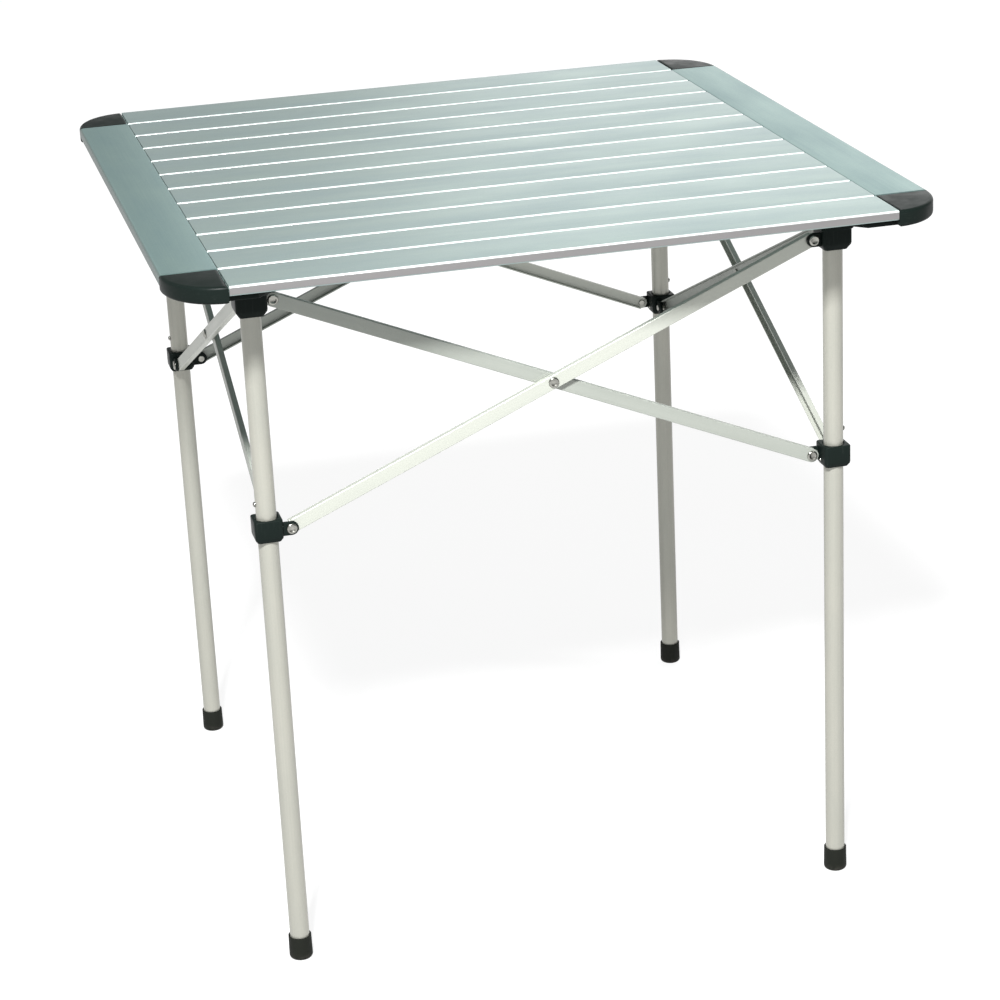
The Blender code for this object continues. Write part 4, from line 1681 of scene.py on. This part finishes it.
    def build(self, shop: Workshop) -> None:
        """Make and dress the brackets and collars.

        Args:
            shop: Where the pieces are added.
        """
        kinds = (("top_bracket", self.bracket_mesh(), "leg"), ("collar", self.collar_mesh(), "collar"))
        screw = self.screw_mesh()
        screw_z = self.plan.collar_z - self.collar_height / 2 + self.screw_rise
        for corner in Corner:
            place = self.plan.leg_place(corner)
            for kind, shape, body in kinds:
                mesh = lay_grain(moved(shape, place), "ZXY", corner.value * self.shift)
                node = f"{kind}_{corner.label}"
                shop.replace(node, mesh, PLASTIC_FINISH, f"{corner.label}_{body}", Slot.PLASTIC)
            spots = []
            for direction in (Vector((1.0, 0.0, 0.0)), Vector((0.0, 1.0, 0.0))):
                spot = place @ (direction * self.collar_half + Vector((0.0, 0.0, screw_z)))
                spots.append((spot, corner.turn.to_3x3() @ direction))
            name, body = f"collar_screws_{corner.label}", f"{corner.label}_collar"
            screws = shop.fixings(screw, spots, self.screw_seed + corner.value)
            shop.add(name, screws, RIVET_FINISH, body, Slot.RIVET)


@dataclass
class Scissors:
    """The eight channel bars and the rivets that join them to each other, the brackets and the collars."""

    plan: ScissorPlan
    width: float = 13.0 * MM
    depth: float = 5.5 * MM
    sheet: float = 1.2 * MM
    bend: float = 1.0 * MM
    play: float = 0.25 * MM
    touch: float = 0.3 * MM
    ear_face: float = 9.0 * MM
    head_radius: float = 5.0 * MM
    head_height: float = 1.4 * MM
    dish_radius: float = 3.1 * MM
    dish_depth: float = 1.0 * MM
    shank_radius: float = 2.0 * MM
    tail_radius: float = 3.4 * MM
    tail_height: float = 1.2 * MM
    tail_chamfer: float = 0.5 * MM
    lip_width: float = 0.3 * MM
    lip_drop: float = 0.12 * MM
    end_overlap: float = 4.0 * MM
    end_edge: float = 0.35 * MM
    side_shift: float = 0.77
    layer_shift: float = 0.19
    rivet_seed: int = 40

    def channel_section(self) -> list[Pair]:
        """Outline of the channel, its web along X at the top and its flanges downwards, web face at y = 0.

        Returns:
            The outline.
        """
        half, bend, sheet = self.width / 2, self.bend, self.sheet
        inner = bend - sheet / 2
        outline = arc((half - bend, -bend), bend, math.pi / 2, 0.0, 5)
        outline += [(half, -self.depth), (half - sheet, -self.depth)]
        outline += arc((half - sheet - inner, -sheet - inner), inner, 0.0, math.pi / 2, 3)
        return outline + [(-x, y) for x, y in reversed(outline)]

    def bar_mesh(self, layer: Layer) -> bpy.types.Mesh:
        """Channel bar along X about its middle, its web outwards (-Y).

        Args:
            layer: The layer the bar lies in.

        Returns:
            The closed mesh.
        """
        half, end = self.plan.bar_length / 2, self.width / 2
        face = -(self.play + self.depth) if layer is Layer.OUTER else self.play
        section_place = placed((0, 0, 1), (0, -1, 0), (0.0, face, 0.0))
        channel = prism([self.channel_section()], 2 * half, section_place)
        web_place = placed((1, 0, 0), (0, 0, 1), (0.0, face + self.sheet / 2, 0.0))
        ends = []
        for side in (-1, 1):
            start, root = side * math.pi / 2, side * (half - self.end_overlap)
            outline = arc((side * half, 0.0), end, -start, -start + math.pi, 20)
            outline += [(root, end * side), (root, -end * side)]
            ends.append(prism([outline], self.sheet, web_place, self.end_edge))
        holes = [
            rod(self.plan.hole_radius, 4 * self.depth, placed((1, 0, 0), (0, 0, 1), (x, 0.0, 0.0)))
            for x in (-half, 0.0, half)
        ]
        return combined(channel, joined=ends, cut=holes)

    def rivet_mesh(self, head_at: float, tail_at: float) -> bpy.types.Mesh:
        """Dished rivet along Z, outwards, between the planes that its head and its tail bear on.

        Args:
            head_at: Height of the face under the head.
            tail_at: Height of the face over the tail.

        Returns:
            The closed mesh.
        """
        top, bottom = head_at + self.head_height, tail_at - self.tail_height
        dish, depth, brim = self.dish_radius, self.dish_depth, self.dish_radius + self.lip_width
        profile = [(0.0, top - depth), (dish * 0.45, top - depth * 0.93), (dish * 0.8, top - depth * 0.55)]
        profile += [(dish, top - self.lip_drop), (brim, top)]
        round_edge = arc((0.0, 0.0), 1.0, math.radians(75), 0.0, 5)
        profile += [
            (brim + (self.head_radius - brim) * x, head_at + self.head_height * y) for x, y in round_edge
        ]
        profile += [(self.head_radius, head_at), (self.shank_radius, head_at), (self.shank_radius, tail_at)]
        profile += [(self.tail_radius, tail_at), (self.tail_radius, tail_at - self.tail_height * 0.6)]
        profile += [(self.tail_radius - self.tail_chamfer, bottom), (0.0, bottom)]
        return lathe(profile, 32)

    def build(self, shop: Workshop) -> None:
        """Make and dress the bars and their rivets.

        Args:
            shop: Where the pieces are added.
        """
        shapes = {layer: self.bar_mesh(layer) for layer in Layer}
        for side in Side:
            for layer, shape in shapes.items():
                node = f"{side.label}_{layer.label}_bar"
                middle = Matrix.Translation(self.plan.point(side, 0.0, self.plan.crossing_z))
                tilt = Matrix.Rotation(-layer.value * self.plan.tilt, 4, "Y")
                shift = side.value * self.side_shift + layer.value * self.layer_shift
                mesh = laid(shape, middle @ side.turn @ tilt, "XZY", shift)
                shop.replace(node, mesh, BAR_FINISHES_WITH_PAINTED_SHADE[layer], node, Slot.BAR)
        self.build_rivets(shop)

    def build_rivets(self, shop: Workshop) -> None:
        """Set the rivets of the crossings, the brackets and the collars; the last stand for no CAD node.

        Args:
            shop: Where the pieces are added.
        """
        ear_face = self.ear_face + self.touch
        bar_face = self.play + self.depth + self.touch
        outer_back = self.play + self.depth - self.sheet - self.touch
        inner_back = -self.play - self.sheet - self.touch
        cross = self.rivet_mesh(bar_face, inner_back)
        outer = self.rivet_mesh(ear_face, outer_back)
        inner = self.rivet_mesh(self.touch - self.play, -ear_face)
        plan, x = self.plan, self.plan.pivot_x
        for side in Side:
            out = side.turn.to_3x3() @ Vector((0.0, -1.0, 0.0))
            left, right = side.left.label, side.right.label
            jobs = (
                ("cross_rivet", cross, 0.0, plan.crossing_z, f"{side.label}_outer_bar", shop.replace),
                ("top_rivet_left", inner, -x, plan.top_z, f"{left}_leg", shop.replace),
                ("top_rivet_right", outer, x, plan.top_z, f"{right}_leg", shop.replace),
                ("collar_rivet_left", outer, -x, plan.collar_z, f"{left}_collar", shop.add),
                ("collar_rivet_right", inner, x, plan.collar_z, f"{right}_collar", shop.add),
            )
            for number, (kind, shape, at, z, body, put) in enumerate(jobs, self.rivet_seed + 5 * side.value):
                rivet = shop.fixings(shape, [(plan.point(side, at, z), out)], number)
                put(f"{side.label}_{kind}", rivet, RIVET_FINISH, body, Slot.RIVET)


# ---------------------------------------------------------------- studio


@dataclass(frozen=True)
class AreaLight:
    """Square light, out of the camera's sight, that looks at the table."""

    name: str
    place: Triple
    size: float
    power: float
    target: Triple = (0.0, 0.0, 0.5)

    def hang(self) -> None:
        """Hang the light and turn it to its target."""
        data = bpy.data.lights.new(self.name, "AREA")
        data.energy = self.power
        data.size = self.size
        light = helper(self.name, data)
        light.location = self.place
        light.rotation_mode = "QUATERNION"
        light.rotation_quaternion = (Vector(self.target) - Vector(self.place)).to_track_quat("-Z", "Y")
        light.visible_camera = False


@dataclass
class Studio:
    """Pale floor, soft lights and the camera."""

    camera_place: Triple = (-0.6102, -2.6025, 1.3289)
    camera_turn: Triple = (69.519, 2.624, -14.391)
    lens: float = 100.66
    sensor: float = 36.0
    floor_size: float = 60.0
    sky: Triple = (1.0, 1.0, 1.0)
    sky_strength: float = 0.30
    wall_strength: float = 0.95
    wall_low: float = 0.06
    wall_high: float = 0.15
    lights: tuple[AreaLight, ...] = (
        AreaLight("key", (-1.12, -3.05, 3.6), size=0.5, power=620.0),
        AreaLight("back", (3.1, 5.1, 2.8), size=4.5, power=86.0),
    )

    def build(self, shop: Workshop) -> None:
        """Set up the studio.

        Args:
            shop: Keeper of the materials.
        """
        self.build_camera()
        self.build_floor(shop)
        self.build_sky()
        for light in self.lights:
            light.hang()

    def build_camera(self) -> None:
        """Place the camera."""
        data = bpy.data.cameras.new("camera")
        data.lens = self.lens
        data.sensor_width = self.sensor
        camera = helper("camera", data)
        camera.location = self.camera_place
        camera.rotation_euler = Euler([math.radians(angle) for angle in self.camera_turn])
        bpy.context.scene.camera = camera

    def build_floor(self, shop: Workshop) -> None:
        """Lay the floor.

        Args:
            shop: Keeper of the materials.
        """
        half = self.floor_size / 2
        corners = [(-half, -half, 0.0), (half, -half, 0.0), (half, half, 0.0), (-half, half, 0.0)]
        mesh = bpy.data.meshes.new("floor")
        mesh.from_pydata(corners, [], [(0, 1, 2, 3)])
        mesh.materials.append(shop.material(FLOOR_FINISH))
        helper("floor", mesh)

    def build_sky(self) -> None:
        """Give the room a plain pale light of its own, with walls paler than its ceiling."""
        world = bpy.data.worlds.new("room")
        world.use_nodes = True
        make = NodeMaker(world.node_tree)
        background = make.tree.nodes["Background"]
        make.feed(background.inputs["Color"], (*self.sky, 1.0))
        direction = make.node("ShaderNodeTexCoord").outputs["Generated"]
        height = make.node("ShaderNodeSeparateXYZ", {0: direction}).outputs["Z"]
        inputs = {
            "Value": height,
            "From Min": self.wall_low,
            "From Max": self.wall_high,
            "To Min": self.wall_strength,
            "To Max": self.sky_strength,
        }
        make.feed(background.inputs["Strength"], make.node("ShaderNodeMapRange", inputs).outputs[0])
        bpy.context.scene.world = world
        bpy.context.scene.view_settings.view_transform = "Standard"


def main() -> None:
    """Build the whole table and the studio round it."""
    logging.basicConfig(level=logging.INFO, format="%(name)s: %(message)s")
    shop = Workshop()
    plan = ScissorPlan()
    Studio().build(shop)
    for assembly in (TableTop(), Legs(plan), Fittings(plan), Scissors(plan)):
        assembly.build(shop)
    LOG.info("%d pieces", shop.count)


if __name__ == "__main__":
    main()
